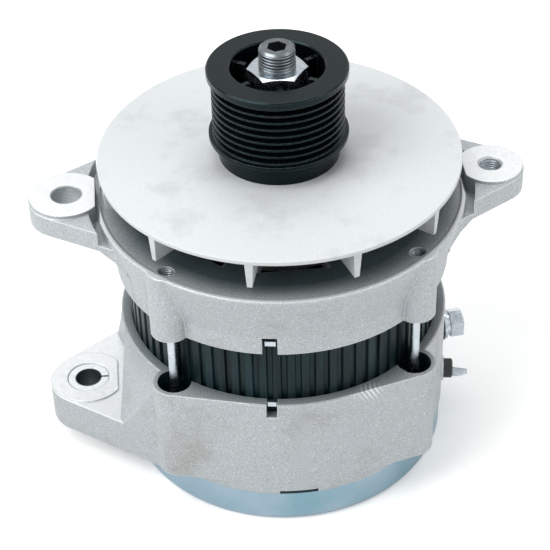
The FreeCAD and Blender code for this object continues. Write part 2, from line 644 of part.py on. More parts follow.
def rear_bracket():
    """Cast rear bracket: wall, floor, hub, bolt columns, foot ear and its flared wall."""
    body = new_body("rear_casting")
    ear = ear_sides("hinge_reach", "foot_ear_rad", "foot_ear_taper", "foot_ear_root", -1)
    centre = ("-hinge_reach", 0)
    pad(body, "foot_low", "foot_web", corners=ear)
    pad(body, "foot_low", "foot_web", circle=(centre, "foot_ear_rad"))
    flare_run = "(rear_rim - foot_web)"
    turn_profile(body, [
        ("-(shell_rad - wall_thick / 2)", "foot_web"),
        ("-flare_rad", "foot_web"),
        ("-(shell_rad + flare_out * 0.6)", f"foot_web + {flare_run} * 0.3"),
        ("-(shell_rad + flare_out * 0.25)", f"foot_web + {flare_run} * 0.65"),
        ("-shell_rad", "rear_rim - edge_break"),
        ("-(shell_rad - wall_thick / 2)", "rear_rim - edge_break"),
    ], sweep="flare_half * 2", both_ways=True)
    clear_beside(body, "foot_web", "rear_rim + 1", ear[0], ear[1])
    pocket(body, "foot_web", "rear_rim + 1", corners=mirrored([
        ("-(shell_rad - wall_thick / 2)", "-ledge_half"),
        ("-(shell_rad + foot_spot)", "-ledge_end"),
        ("-(shell_rad + foot_ear_rad * 2)", "-ledge_end")]))
    pad(body, "foot_web", "foot_face", circle=(centre, "foot_ear_rad - edge_break"))
    pocket(body, "foot_web", "foot_face", corners=mirrored([
        ("-(shell_rad + foot_spot)", "-foot_ear_rad * 0.7"), ("-shell_rad", "-foot_ear_rad * 0.7")]))
    pocket(body, "foot_low - 1", "cover_depth", circle=((0, 0), "cover_rad + edge_break"))
    place = bolt_place("bolt_circle", "bolt_angle")
    column = pad(body, "column_foot", "rear_rim", circle=(place, "column_rad"))
    around(body, [column], "bolt_count")
    bolt_webs(body, "column_foot", "rear_rim", "column_rad")
    pocket(body, "cover_depth", "rear_rim", circle=((0, 0), "inner_rad + 1"))
    turn_profile(body, [
        ("inner_rad - 1", "cover_depth"),
        ("shell_rad - edge_break", "cover_depth"),
        ("shell_rad", "cover_depth + edge_break * 2"),
        ("shell_rad", "rear_rim - edge_break"),
        ("shell_rad - edge_break", "rear_rim"),
        ("core_seat", "rear_rim"),
        ("core_seat", "core_low"),
        ("shoulder_rad", "core_low"),
        ("shoulder_rad", "core_low - shoulder_wide * 2"),
        ("inner_rad", "core_low - shoulder_wide * 3"),
        ("inner_rad", "floor_high"),
        ("rear_hub_rad", "floor_high"),
        ("rear_hub_rad", "rear_hub_high"),
        ("rear_ring_rad + seat_slip", "rear_hub_high"),
        ("rear_ring_rad + seat_slip", "floor_high"),
        (0, "floor_high"),
        (0, "floor_low"),
        ("inner_rad - 1", "floor_low"),
    ])
    cavity = pocket(body, "cover_depth + pocket_floor", "rear_rim", circle=(place, "pocket_rad"))
    around(body, [cavity], "bolt_count")
    hole = pocket(body, "column_foot", "cover_depth + pocket_floor",
                  circle=(place, "shank_rad + run_slip * 3"))
    around(body, [hole], "bolt_count")
    relief = pocket(body, "cover_depth", "column_foot", circle=(place, "pocket_rad"))
    around(body, [relief], "bolt_count")
    pillar_place = bolt_place("pillar_circle", "pillar_angle")
    pillar = pad(body, "dimple_top", "floor_low", circle=(pillar_place, "pillar_rad"))
    around(body, [pillar], 4)
    tapped = pocket(body, "dimple_top", "floor_low", circle=(pillar_place, "small_thread + seat_slip"))
    around(body, [tapped], 4)
    post_place = bolt_place("pillar_circle", "pillar_angle + 45")
    tapped = pocket(body, "floor_low", "floor_low + screw_bite",
                    circle=(post_place, "small_thread + seat_slip"))
    around(body, [tapped], 3, span=180)
    for reach in ("regulator_inner + small_head", "regulator_outer - small_head"):
        pocket(body, "floor_low", "floor_low + screw_bite",
               circle=(bolt_place(reach, "-pillar_angle"), "small_thread + seat_slip"))
    air = pocket(body, "floor_low", "floor_high",
                 corners=window("window_inner", "window_outer", "window_half"))
    around(body, [air], "window_count")
    field_place = bolt_place("field_screw_circle", 45)
    tapped = pocket(body, "rear_hub_high - 12", "rear_hub_high",
                    circle=(field_place, "small_thread + seat_slip"))
    around(body, [tapped], 4)
    for angle, half, low, high in (
            ("notch_angle", "notch_rear_half", "rear_rim - notch_rear_deep", "rear_rim"),
            ("slot_angle", "slot_half", "cover_depth", "cover_depth + slot_high"),
            ("port_angle", "port_half", "cover_depth", "cover_depth + port_high")):
        pocket(body, low, high, corners=box_on_ray("inner_rad - 2", "shell_rad + 2", half, angle))
    bush_seat = "bush_rad + run_slip / 2"
    pocket(body, "foot_low", "foot_face", circle=(centre, bush_seat))
    break_edges(body, [(bush_seat, "foot_face", "-hinge_reach"),
                       (bush_seat, "foot_low", "-hinge_reach")], "edge_break")

    flank_wedge = cylinder("flank_wedge", "shell_rad + flank_proud", "flank_high",
                           "cover_depth + flank_low", "flank_start", "flank_sweep")
    flank_core = cylinder("flank_core", "shell_rad - wall_thick / 2", "flank_high + 2",
                          "cover_depth + flank_low - 1")
    flank = less("flank", flank_wedge, flank_core)
    output_pad = radial_cylinder("output_pad", "output_pad_rad", "output_face",
                                 "output_angle", "output_height")
    phase_pad = radial_cylinder("phase_pad", "phase_rad + 1.4", "output_face",
                                "phase_angle", "phase_height")
    inside = cylinder("pad_core", "shell_rad - wall_thick / 2", "rear_rim", 0)
    pads = less("terminal_pads", joined("pads_whole", output_pad, phase_pad), inside)
    output_hole = radial_cylinder("output_hole", "output_bush_rad + run_slip", "output_face + 1",
                                  "output_angle", "output_height")
    phase_hole = radial_cylinder("phase_hole", "phase_neck + run_slip", "output_face + 1",
                                 "phase_angle", "phase_height")
    locating_hole = radial_cylinder("locating_hole", "pin_hole_rad", "shell_rad + 2",
                                    "pin_hole_angle", "pin_hole_height")
    hub = cylinder("hub_core", "rear_hub_rad + 12", "rear_rim", 0)
    holes = less("terminal_holes", joined("holes_whole", output_hole, phase_hole, locating_hole), hub)
    whole = joined("rear_whole", body, flank, pads)
    keep(less("rear_bracket_cut", whole, holes), "rear_bracket")


def split_bush():
    """Slit steel bush that slides in the foot ear to take up the hinge gap."""
    body = new_body("split_bush")
    low = "foot_low + bush_short / 2"
    high = "foot_face - bush_short / 2 + 1"
    pad(body, low, high, circle=(("-hinge_reach", 0), "bush_rad"))
    pocket(body, low, high, circle=(("-hinge_reach", 0), "bush_bore"))
    pocket(body, low, high, corners=mirrored([
        ("-hinge_reach + bush_bore / 2", "-bush_slit / 2"),
        ("-hinge_reach + bush_rad + 1", "-bush_slit / 2")]))
    keep(body, "split_bush")


def front_bracket():
    """Cast front bracket: wall, lip, deck, hub, bolt bosses and the two upper ears."""
    body = new_body("front_bracket")
    ears = (("hinge_reach", "hinge_ear_rad", -1), ("strap_reach", "strap_ear_rad", 1))
    for reach, radius, side in ears:
        sides = ear_sides(reach, radius, "ear_taper", "inner_rad", side)
        turn_profile(body, [
            (f"{side} * (shell_rad - wall_thick / 2)", "gusset_foot"),
            (f"{side} * (shell_rad + 0.8)", "gusset_foot"),
            (f"{side} * (shell_rad + 3.2)", "gusset_foot + gusset_deep * 0.4"),
            (f"{side} * (shell_rad + 6.4)", "gusset_foot + gusset_deep * 0.75"),
            (f"{side} * (shell_rad + 11)", "ear_low"),
            (f"{side} * (shell_rad - wall_thick / 2)", "ear_low"),
        ], sweep="gusset_half * 2", both_ways=True)
        clear_beside(body, "gusset_foot - 1", "ear_low", sides[0], sides[1])
        pad(body, "ear_low", "ear_web", corners=sides)
        pad(body, "ear_low", "ear_web", circle=((f"{side} * {reach}", 0), radius))
    pocket(body, "ear_low", "lip_top", circle=((0, 0), "lip_rad - wall_thick"))
    pocket(body, "ear_groove_floor", "ear_top", circle=((0, 0), "lip_rad + ear_groove"))
    for reach, radius, side in ears:
        pad(body, "ear_groove_floor", "ear_top",
            circle=((f"{side} * {reach}", 0), f"{radius} - edge_break"))
        pocket(body, "ear_groove_floor", "ear_top + 1", corners=mirrored([
            (f"{side} * (inner_rad - 1)", f"-{radius}"), (f"{side} * ear_boss_edge", f"-{radius}")]))
    bowl = "(lip_top - bowl_drop)"
    place = bolt_place("bolt_circle", "bolt_angle")
    boss = pad(body, "front_rim", "lip_top", circle=(place, "boss_rad"))
    around(body, [boss], "bolt_count")
    pocket(body, f"{bowl} - 0.6", "lip_top", circle=((0, 0), "lip_rad - lip_wide"))
    pocket(body, "front_rim", f"{bowl} - 0.6", circle=((0, 0), "inner_rad + 1"))
    turn_profile(body, [
        ("core_seat", "front_rim"),
        ("shell_rad", "front_rim"),
        ("shell_rad + edge_break", "front_rim + seat_depth"),
        ("lip_rad", "lip_top - lip_wide"),
        ("lip_rad", "lip_top - edge_break / 2"),
        ("lip_rad - edge_break / 2", "lip_top"),
        ("lip_rad - lip_wide", "lip_top"),
        ("lip_rad - lip_wide * 1.6", "lip_top - lip_wide / 2"),
        ("inner_rad", bowl),
        ("window_inner", "deck_high"),
        ("front_hub_rad", "deck_high"),
        ("front_hub_rad - 3", "shoulder_high"),
        ("front_eye_rad", "shoulder_high"),
        ("front_eye_rad", "deck_high"),
        ("front_ring_rad + seat_slip", "deck_high"),
        ("front_ring_rad + seat_slip", "front_ring_low"),
        ("front_hub_rad", "front_ring_low"),
        ("front_hub_rad", "deck_low"),
        ("shoulder_rad", "deck_low"),
        ("shoulder_rad", "core_high"),
        ("core_seat", "core_high"),
    ])
    for reach, radius, side in ears:
        pocket(body, "ear_groove_floor", "ear_top", corners=mirrored([
            (f"{side} * ear_slot_edge", f"-{radius} * 1.3"),
            (f"{side} * ear_boss_edge", f"-{radius} * 1.3")]))
    hole = pocket(body, "front_rim", "lip_top", circle=(place, "bolt_rad + seat_slip"))
    around(body, [hole], "bolt_count")
    mouth = pocket(body, "bolt_end", "lip_top", circle=(place, "bolt_rad + edge_break * 2"))
    around(body, [mouth], "bolt_count")
    air = pocket(body, "deck_low", "lip_top",
                 corners=window("window_inner", "inner_rad - bowl_wide", "window_half"))
    around(body, [air], "window_count")
    pocket(body, "front_rim", "front_rim + notch_front_deep",
           corners=box_on_ray("shoulder_rad - 1", "shell_rad + 3", "notch_front_half", "notch_angle"))
    screw_place = bolt_place("retainer_bolt", 45)
    tapped = pocket(body, "front_ring_low", "front_ring_low + 11",
                    circle=(screw_place, "small_thread + seat_slip"))
    around(body, [tapped], 4)
    pocket(body, "ear_low", "ear_top", circle=(("-hinge_reach", 0), "hinge_bore"))
    pocket(body, "ear_low", "ear_top", circle=(("strap_reach", 0), "strap_bore"))
    break_edges(body, [("hinge_bore", "ear_top", "-hinge_reach"),
                       ("hinge_bore", "ear_low", "-hinge_reach")], "edge_break")
    break_edges(body, [("strap_bore", "ear_top", "strap_reach"),
                       ("strap_bore", "ear_low", "strap_reach")], "strap_mouth - strap_bore")
    keep(body, "front_bracket")


def through_bolts():
    """Long bolts that clamp the two brackets on the stator core."""
    body = new_body("through_bolts")
    place = bolt_place("bolt_circle", "bolt_angle")
    head_low = "column_foot - bolt_head_high"
    flange = pad(body, "column_foot - 1", "column_foot", circle=(place, "bolt_head_flat * 0.65"))
    corners = [(f"({place[0]}) + ({east})", f"({place[1]}) + ({north})")
               for east, north in hexagon("bolt_head_flat", "bolt_angle")]
    head = pad(body, head_low, "column_foot - 1", corners=corners)
    shank = pad(body, "column_foot", "core_high + 3", circle=(place, "shank_rad"))
    thread = pad(body, "core_high + 3", "bolt_end", circle=(place, "bolt_rad"))
    around(body, [flange, head, shank, thread], "bolt_count")
    keep(body, "through_bolts")


def stator_core():
    """Stack of laminations: fluted outside, slotted bore."""
    body = new_body("stator_core")
    turn_profile(body, [
        ("core_bore", "core_low"), ("core_rad", "core_low"),
        ("core_rad", "core_high"), ("core_bore", "core_high"),
    ])
    slot = pocket(body, "core_low", "core_high", corners=box_on_ray(
        "core_bore - 1", "slot_bottom", "slot_width / 2", 0))
    around(body, [slot], "slot_count")
    flute_low = "core_rad - flute_deep"
    flute = pocket(body, "rear_rim - 2", "front_rim + 2", corners=mirrored([
        (flute_low, "-flute_half * 0.6"), ("core_rad + 1", "-flute_half * 1.3")]))
    around(body, [flute], "flute_count")
    keep(body, "stator_core")


def stator_winding():
    """Copper winding: two rings of end turns joined by the slot conductors."""
    body = new_body("stator_winding")
    bevel = "(coil_high / 4)"
    for base, way in (("core_high", 1), ("core_low", -1)):
        turn_profile(body, [
            ("coil_inner", base),
            ("coil_outer - 2", base),
            ("coil_outer", f"{base} + {way} * {bevel}"),
            ("coil_outer", f"{base} + {way} * (coil_high - {bevel})"),
            (f"coil_outer - {bevel}", f"{base} + {way} * coil_high"),
            (f"coil_inner + {bevel}", f"{base} + {way} * coil_high"),
            ("coil_inner", f"{base} + {way} * (coil_high - {bevel})"),
        ])
        if way == 1:
            bar = pad(body, "core_low", "core_high", corners=box_on_ray(
                "coil_inner + coil_gap * 2", "slot_bottom - coil_gap",
                "slot_width / 2 - coil_gap", 0))
            around(body, [bar], "slot_count")
    keep(body, "stator_winding")


def stator_keys():
    """Bare steel keys on the core that stand in the two index notches."""
    body = new_body("stator_keys")
    for low, half in (("front_rim + 2.4", "notch_front_half - 1"),
                      ("rear_rim - key_long - 0.4", "notch_rear_half - 0.4")):
        pad(body, low, f"{low} + key_long", corners=box_on_ray(
            "core_rad + seat_slip", "core_rad + key_proud", half, "notch_angle"))
    keep(body, "stator_keys")


def claw_pole(label, base, tip, hub_corners):
    """A pole piece: a turned hub and claws that narrow towards their tips."""
    body = new_body(label)
    turn_profile(body, hub_corners)
    root = new_sketch(body, "XY_Plane", base)
    draw_outline(root, mirrored([("claw_inner - 6", "-claw_root_half"), ("pole_rad + 2", "-claw_root_half")]))
    end = new_sketch(body, "XY_Plane", tip)
    draw_outline(end, mirrored([("claw_inner - 2", "-claw_tip_half"), ("pole_rad + 2", "-claw_tip_half")]))
    claw = body.newObject("PartDesign::AdditiveLoft", label + "_claw")
    claw.Profile = root
    claw.Sections = [end]
    claw.Ruled = True
    body.Tip = claw
    around(body, [claw], "claw_count")
    low, high = ("pole_low - 1", "pole_top + 1")
    turn_profile(body, [("pole_rad", low), ("pole_rad + 8", low),
                        ("pole_rad + 8", high), ("pole_rad", high)], kind="Groove")
    return body


def rotor_poles():
    """Two claw poles, the ring that joins them, and the shaft spacer above."""
    front = claw_pole("front_claw_pole", "pole_top", "pole_low", [
        ("shaft_core + seat_slip", "pole_under"), ("pole_disc_rad", "pole_under"),
        ("pole_disc_rad", "pole_top"), ("shaft_core + seat_slip", "pole_top")])
    turn_profile(front, [("shaft_core + 2", "pole_low - 1"), ("claw_inner", "pole_low - 1"),
                         ("claw_inner", "pole_under - 2"), ("pole_disc_rad - 1", "pole_under"),
                         ("shaft_core + 2", "pole_under")], kind="Groove")
    keep(front, "front_claw_pole")
    ring_top = "pole_low + pole_thick"
    rear = claw_pole("rear_claw_pole", "pole_low", "pole_top", [
        ("pole_ring_inner", "pole_low"), ("claw_inner - edge_break", "pole_low"),
        ("claw_inner - edge_break", ring_top), ("pole_ring_inner", ring_top)])
    turn_profile(rear, [("pole_ring_inner - 8", ring_top), ("claw_inner", ring_top),
                        ("claw_inner", "pole_top + 1"), ("pole_ring_inner - 8", "pole_top + 1")],
                 kind="Groove")
    turn_profile(rear, [("shaft_core", "pole_low - 1"), ("pole_ring_inner", "pole_low - 1"),
                        ("pole_ring_inner", ring_top), ("shaft_core", ring_top)], kind="Groove")
    rear.setExpression("Placement", bound("placement(vector(0; 0; 0); "
                                          "rotation(vector(0; 0; 1); 180 / claw_count))"))
    keep(rear, "rear_claw_pole")
    ring = new_body("pole_joining_ring")
    middle = "((core_low + core_high) / 2)"
    outer = "claw_inner - seat_slip"
    inner = "claw_inner - join_thick"
    low, high = (f"{middle} - join_long / 2", f"{middle} + join_long / 2")
    turn_profile(ring, [(inner, low), (outer, low), (outer, high), (inner, high)])
    keep(ring, "pole_joining_ring")


def rotor_shaft():
    """Stepped shaft with a keyway, a threaded nose and a hexagon socket."""
    body = new_body("rotor_shaft")
    tail = "floor_high + shaft_gap"
    turn_profile(body, [
        (0, tail),
        ("shaft_tail - edge_break", tail),
        ("shaft_tail", f"{tail} + edge_break"),
        ("shaft_tail", "rear_ring_high + 1"),
        ("shaft_core", "rear_ring_high + 1"),
        ("shaft_core", "pole_top"),
        ("shaft_front", "pole_top"),
        ("shaft_front", "fan_hub_low"),
        ("shaft_nose", "fan_hub_low"),
        ("shaft_nose", "nut_seat - 0.5"),
        ("shaft_thread", "nut_seat - 0.5"),
        ("shaft_thread", "shaft_top - 1"),
        ("shaft_thread - 1", "shaft_top"),
        (0, "shaft_top"),
    ])
    pocket(body, "shaft_top - socket_deep", "shaft_top", corners=hexagon("socket_flat", 15))
    key_low = "(pulley_top + fan_top - key_run) / 2 - recess_deep / 2"
    pocket(body, key_low, f"{key_low} + key_run", corners=box_on_ray(
        "shaft_nose - key_width / 2", "shaft_nose + 1", "key_width / 2", 0))
    keep(body, "rotor_shaft")
    key = new_body("pulley_key")
    pad(key, f"{key_low} + seat_slip", f"{key_low} + key_run - seat_slip", corners=box_on_ray(
        "shaft_nose - key_width / 2 + seat_slip", "shaft_nose + key_width / 2 - run_slip",
        "key_width / 2 - seat_slip", 0))
    keep(key, "pulley_key")


def shaft_spacers():
    """Turned spacers that hold the bearing between the pole and the fan."""
    for label, low, high in (("rotor_spacer", "pole_top", "front_ring_low"),
                             ("fan_spacer", "deck_high", "fan_hub_low")):
        body = new_body(label)
        bore = "shaft_front + seat_slip"
        turn_profile(body, [(bore, low), ("spacer_rad", low), ("spacer_rad", high), (bore, high)])
        keep(body, label)


def ball_bearing(name, low, wide, bore, outer, ball, pitch):
    """Deep-groove ball bearing: two rings with raceways, balls and their cage."""
    middle = f"({low} + {wide} / 2)"
    land = "0.62"
    race = f"{ball} + run_slip"
    high = f"{low} + {wide}"
    rings = (("inner_ring", f"{bore} + seat_slip", f"{pitch} - {ball} * {land}"),
             ("outer_ring", f"{pitch} + {ball} * {land}", outer))
    for part, inside, outside in rings:
        body = new_body(f"{name}_{part}")
        turn_profile(body, [(inside, low), (outside, low), (outside, high), (inside, high)])
        sketch = new_sketch(body, "XZ_Plane")
        draw_circle(sketch, (pitch, middle), race)
        groove = body.newObject("PartDesign::Groove", f"{name}_{part}_race")
        groove.Profile = sketch
        groove.ReferenceAxis = (sketch, ["V_Axis"])
        groove.Angle = ALL_ROUND
        body.Tip = groove
        keep(body, f"{name}_{part}")
    balls = []
    pockets = []
    for index in range(int(number("ball_count"))):
        angle = f"{index} * 360 / ball_count"
        east, north = turned(pitch, 0, angle)
        place = f"placement(vector({east}; {north}; {middle}); rotation(vector(0; 0; 1); 0))"
        item = doc.addObject("Part::Sphere", f"{name}_ball")
        item.setExpression("Radius", bound(ball))
        item.setExpression("Placement", bound(place))
        balls.append(item)
        pockets.append(radial_cylinder(f"{name}_pocket", f"{ball} + run_slip / 2", outer, angle, middle))
    group = doc.addObject("Part::Compound", f"{name}_balls")
    group.Links = balls
    keep(group, f"{name}_balls")
    tube = new_body(f"{name}_cage_tube")
    inside, outside = (f"{pitch} - {ball} * 0.26", f"{pitch} + {ball} * 0.26")
    low, high = (f"{middle} - {ball} * 1.18", f"{middle} + {ball} * 1.18")
    turn_profile(tube, [(inside, low), (outside, low), (outside, high), (inside, high)])
    keep(less(f"{name}_cage_cut", tube, joined(f"{name}_pockets", *pockets)), f"{name}_cage")


def bearing_retainer():
    """Plate that traps the front bearing, with its countersunk screws."""
    plate = new_body("bearing_retainer")
    low, high = ("front_ring_low - retainer_thick", "front_ring_low")
    turn_profile(plate, [("front_pitch + 2", low), ("front_hub_rad", low),
                         ("front_hub_rad", high), ("front_pitch + 2", high)])
    place = bolt_place("retainer_bolt", 45)
    hole = pocket(plate, low, high, circle=(place, "small_thread + run_slip"))
    sunk = pocket(plate, low, f"{low} + 1.8", circle=(place, "small_thread + 1"))
    around(plate, [hole, sunk], 4)
    keep(plate, "bearing_retainer")
    screws = new_body("retainer_screws")
    head = pad(screws, f"{low} + 0.1", f"{low} + 1.8", circle=(place, "small_thread + 0.9"))
    shank = pad(screws, f"{low} + 1.8", "front_ring_low + 10", circle=(place, "small_thread"))
    around(screws, [head, shank], 4)
    keep(screws, "retainer_screws")


def field_assembly():
    """Stationary field core bolted to the rear hub, its bobbin, coil and screws."""
    core = new_body("field_core")
    bore = "shaft_core + air_gap"
    turn_profile(core, [
        (bore, "rear_hub_high"), ("rear_hub_rad", "rear_hub_high"),
        ("rear_hub_rad", "field_flange_top"), ("field_tube", "field_flange_top"),
        ("field_tube", "field_top"), (bore, "field_top"),
    ])
    place = bolt_place("field_screw_circle", 45)
    hole = pocket(core, "rear_hub_high", "field_flange_top", circle=(place, "small_thread + run_slip"))
    around(core, [hole], 4)
    keep(core, "field_core")
    screws = new_body("field_core_screws")
    shank = pad(screws, "rear_hub_high - 11", "field_flange_top", circle=(place, "small_thread"))
    head = pad(screws, "field_flange_top", "field_flange_top + bobbin_lift - 0.5",
               circle=(place, "small_head - 0.3"))
    around(screws, [shank, head], 4)
    keep(screws, "field_core_screws")
    bobbin = new_body("field_bobbin")
    inner = "field_tube + seat_slip"
    low, high = ("bobbin_low", "field_top")
    turn_profile(bobbin, [
        (inner, low), ("bobbin_rad", low), ("bobbin_rad", f"{low} + bobbin_wall"),
        (f"{inner} + bobbin_wall", f"{low} + bobbin_wall"),
        (f"{inner} + bobbin_wall", f"{high} - bobbin_wall"),
        ("bobbin_rad", f"{high} - bobbin_wall"), ("bobbin_rad", high), (inner, high),
    ])
    keep(bobbin, "field_bobbin")
    coil = new_body("field_coil")
    inside, outside = (f"{inner} + bobbin_wall + seat_slip", "bobbin_rad - 0.6")
    turn_profile(coil, [
        (inside, f"{low} + bobbin_wall"), (outside, f"{low} + bobbin_wall"),
        (outside, f"{high} - bobbin_wall"), (inside, f"{high} - bobbin_wall"),
    ])
    keep(coil, "field_coil")


def fan():
    """Cast disc fan with straight drafted blades under it."""
    body = new_body("fan")
    turn_profile(body, [
        ("shaft_nose + seat_slip", "fan_hub_low"),
        ("fan_hub_rad", "fan_hub_low"),
        ("fan_hub_rad", "fan_under - 2"),
        ("fan_hub_rad + 3", "fan_under"),
        ("fan_rad", "fan_under"),
        ("fan_rad", "fan_top - edge_break / 2"),
        ("fan_rad - edge_break / 2", "fan_top"),
        ("shaft_nose + seat_slip", "fan_top"),
    ])
    blade = pad(body, "fan_under", "fan_under + blade_high", draft="-blade_draft",
                corners=box_on_ray("blade_inner", "fan_rad - edge_break", "blade_half", 0))
    blade.Reversed = True
    around(body, [blade], "blade_count")
    place_on_ray(body, "blade_angle")
    keep(body, "fan")


def pulley():
    """Grooved pulley with a ribbed recess round its nut."""
    body = new_body("pulley")
    first = "pulley_top - groove_first"
    outline = [
        ("shaft_nose + seat_slip", "fan_top"),
        ("pulley_base", "fan_top"),
        ("pulley_base", f"{first} - (groove_count - 0.5) * groove_pitch - 0.6 - flange_low"),
        ("pulley_rad", f"{first} - (groove_count - 0.5) * groove_pitch - 0.6 - flange_low"),
        ("pulley_rad", f"{first} - (groove_count - 0.5) * groove_pitch - 0.6"),
        ("crest_rad", f"{first} - (groove_count - 0.5) * groove_pitch - 0.2"),
    ]
    for index in reversed(range(int(number("groove_count")))):
        middle = f"{first} - {index} * groove_pitch"
        outline += [
            ("crest_rad", f"{middle} - groove_half"),
            ("crest_rad - groove_deep", f"{middle} - groove_root"),
            ("crest_rad - groove_deep", f"{middle} + groove_root"),
            ("crest_rad", f"{middle} + groove_half"),
        ]
    outline += [
        ("crest_rad", "pulley_top - flange_thick"),
        ("pulley_rad", "pulley_top - flange_thick"),
        ("pulley_rad", "pulley_top - edge_break"),
        ("pulley_rad - edge_break", "pulley_top"),
        ("recess_rad + edge_break", "pulley_top"),
        ("recess_rad", "pulley_top - edge_break"),
        ("recess_rad", "nut_seat"),
        ("shaft_nose + seat_slip", "nut_seat"),
    ]
    turn_profile(body, outline)
    rib = pad(body, "nut_seat", "pulley_top - rib_drop",
              corners=box_on_ray("rib_inner", "recess_rad + 0.5", "rib_half", 30))
    around(body, [rib], "rib_count")
    pocket(body, "fan_top", "nut_seat", corners=box_on_ray(
        "shaft_nose - 1", "shaft_nose + key_width / 2", "key_width / 2", 0))
    keep(body, "pulley")


def pulley_fastening():
    """Spring washer and hexagon nut on the shaft thread."""
    washer = new_body("lock_washer")
    bore = "shaft_thread + run_slip * 2"
    turn_profile(washer, [(bore, "nut_seat"), ("washer_rad", "nut_seat"),
                          ("washer_rad", "nut_low"), (bore, "nut_low")])
    pocket(washer, "nut_seat", "nut_low", corners=box_on_ray(
        "shaft_thread - 1", "washer_rad + 1", "0.8", 70))
    keep(washer, "lock_washer")
    nut = new_body("pulley_nut")
    pad(nut, "nut_low", "nut_top", corners=hexagon("nut_flat", "nut_angle"))
    pocket(nut, "nut_low", "nut_top", circle=((0, 0), "shaft_thread + seat_slip"))
    reach = "(nut_flat / 2 / cos(30))"
    for level, way in (("nut_top", 1), ("nut_low", -1)):
        turn_profile(nut, [("nut_flat / 2 - 0.4", level), (f"{reach} + 1", level),
                           (f"{reach} + 1", f"{level} - {way} * ({reach} + 1 - nut_flat / 2) * 0.5")],
                     kind="Groove")
    keep(nut, "pulley_nut")


def heat_sinks():
    """Horseshoe plates of the rectifier with diodes, posts and screws."""
    levels = (("positive", "sink_low", "sink_low + sink_thick", 0),
              ("negative", "sink_high", "floor_low", "diode_step / 2"))
    screw_place = bolt_place("pillar_circle", "pillar_angle + 45")
    for sign, low, high, shift in levels:
        plate = new_body(f"{sign}_heat_sink")
        turn_profile(plate, [("sink_inner", low), ("sink_outer", low),
                             ("sink_outer", high), ("sink_inner", high)], sweep="sink_sweep")
        clear = pocket(plate, low, high, circle=(bolt_place("pillar_circle", "pillar_angle"),
                                                 "pillar_rad + 0.7"))
        around(plate, [clear], 4)
        post = pocket(plate, low, high, circle=(screw_place, "small_thread + run_slip"))
        around(plate, [post], 3, span=180)
        seat = bolt_place("diode_circle", f"diode_first + {shift}")
        span = "diode_step * (diode_count - 1)"
        hole = pocket(plate, low, high, circle=(seat, "diode_rad + seat_slip"))
        around(plate, [hole], "diode_count", span=span)
        if sign == "negative":
            pocket(plate, low, high, corners=box_on_ray(
                "strap_out - strap_thick - 2", "strap_out + 2", "strap_half + 2", "output_angle"))
        keep(plate, f"{sign}_heat_sink")
        diodes = new_body(f"{sign}_diodes")
        if sign == "positive":
            can = pad(diodes, low, f"{low} + diode_high", circle=(seat, "diode_rad"))
            lead = pad(diodes, f"{low} + diode_high", "sink_high - 0.5", circle=(seat, "0.8"))
        else:
            can = pad(diodes, f"{high} - diode_high", high, circle=(seat, "diode_rad"))
            lead = pad(diodes, "sink_low + sink_thick + 0.5", f"{high} - diode_high", circle=(seat, "0.8"))
        around(diodes, [can, lead], "diode_count", span=span)
        keep(diodes, f"{sign}_diodes")
    posts = new_body("rectifier_posts")
    post = pad(posts, "sink_low + sink_thick", "sink_high", circle=(screw_place, "pillar_rad"))
    bore = pocket(posts, "sink_low + sink_thick", "sink_high", circle=(screw_place, "small_thread + run_slip"))
    around(posts, [post, bore], 3, span=180)
    keep(posts, "rectifier_posts")
    screws = new_body("rectifier_screws")
    head = pad(screws, "sink_low - 2.4", "sink_low", circle=(screw_place, "small_head - 0.3"))
    shank = pad(screws, "sink_low", "floor_low + screw_bite", circle=(screw_place, "small_thread"))
    around(screws, [head, shank], 3, span=180)
    keep(screws, "rectifier_screws")


def regulator():
    """Potted voltage regulator under the rear floor."""
    body = new_body("voltage_regulator")
    angle = "-pillar_angle"
    low = "floor_low - regulator_high"
    pad(body, low, "floor_low", corners=box_on_ray(
        "regulator_inner", "regulator_outer", "regulator_half", angle))
    for step in range(4):
        near = f"regulator_inner + (regulator_outer - regulator_inner) * {(step + 0.7) / 4}"
        pocket(body, low, f"{low} + 2.5", corners=box_on_ray(
            near, f"{near} + 2.5", "regulator_half - 4", angle))
    seats = [bolt_place("regulator_inner + small_head", angle),
             bolt_place("regulator_outer - small_head", angle)]
    for seat in seats:
        pocket(body, low, "floor_low", circle=(seat, "small_thread + run_slip"))
    keep(body, "voltage_regulator")
    screws = new_body("regulator_screws")
    for seat in seats:
        pad(screws, f"{low} - 2.4", low, circle=(seat, "small_head - 0.3"))
        pad(screws, low, "floor_low + screw_bite", circle=(seat, "small_thread"))
    keep(screws, "regulator_screws")


def radial_piece(label, corners, angle, height, hexed=None, bored=None, cut=None):
    """A piece turned about a ray: corners are distance out and radius."""
    body = new_body(label)
    if hexed:
        flats, low, high = hexed
        sketch = new_sketch(body, "YZ_Plane", low)
        draw_outline(sketch, hexagon(flats, 30))
        feature = body.newObject("PartDesign::Pad", label + "_hexagon")
        feature.Profile = sketch
        feature.setExpression("Length", bound(f"({high}) - ({low})"))
        body.Tip = feature
    if corners:
        turn_profile(body, corners, axis="H_Axis")
    if bored:
        turn_profile(body, [(bored[1], 0), (bored[2], 0), (bored[2], bored[0]), (bored[1], bored[0])],
                     kind="Groove", axis="H_Axis")
    place_on_ray(body, angle, height)
    return keep(body, label)


def ring_outline(low, high, bore, outer):
    return [(low, bore), (high, bore), (high, outer), (low, outer)]


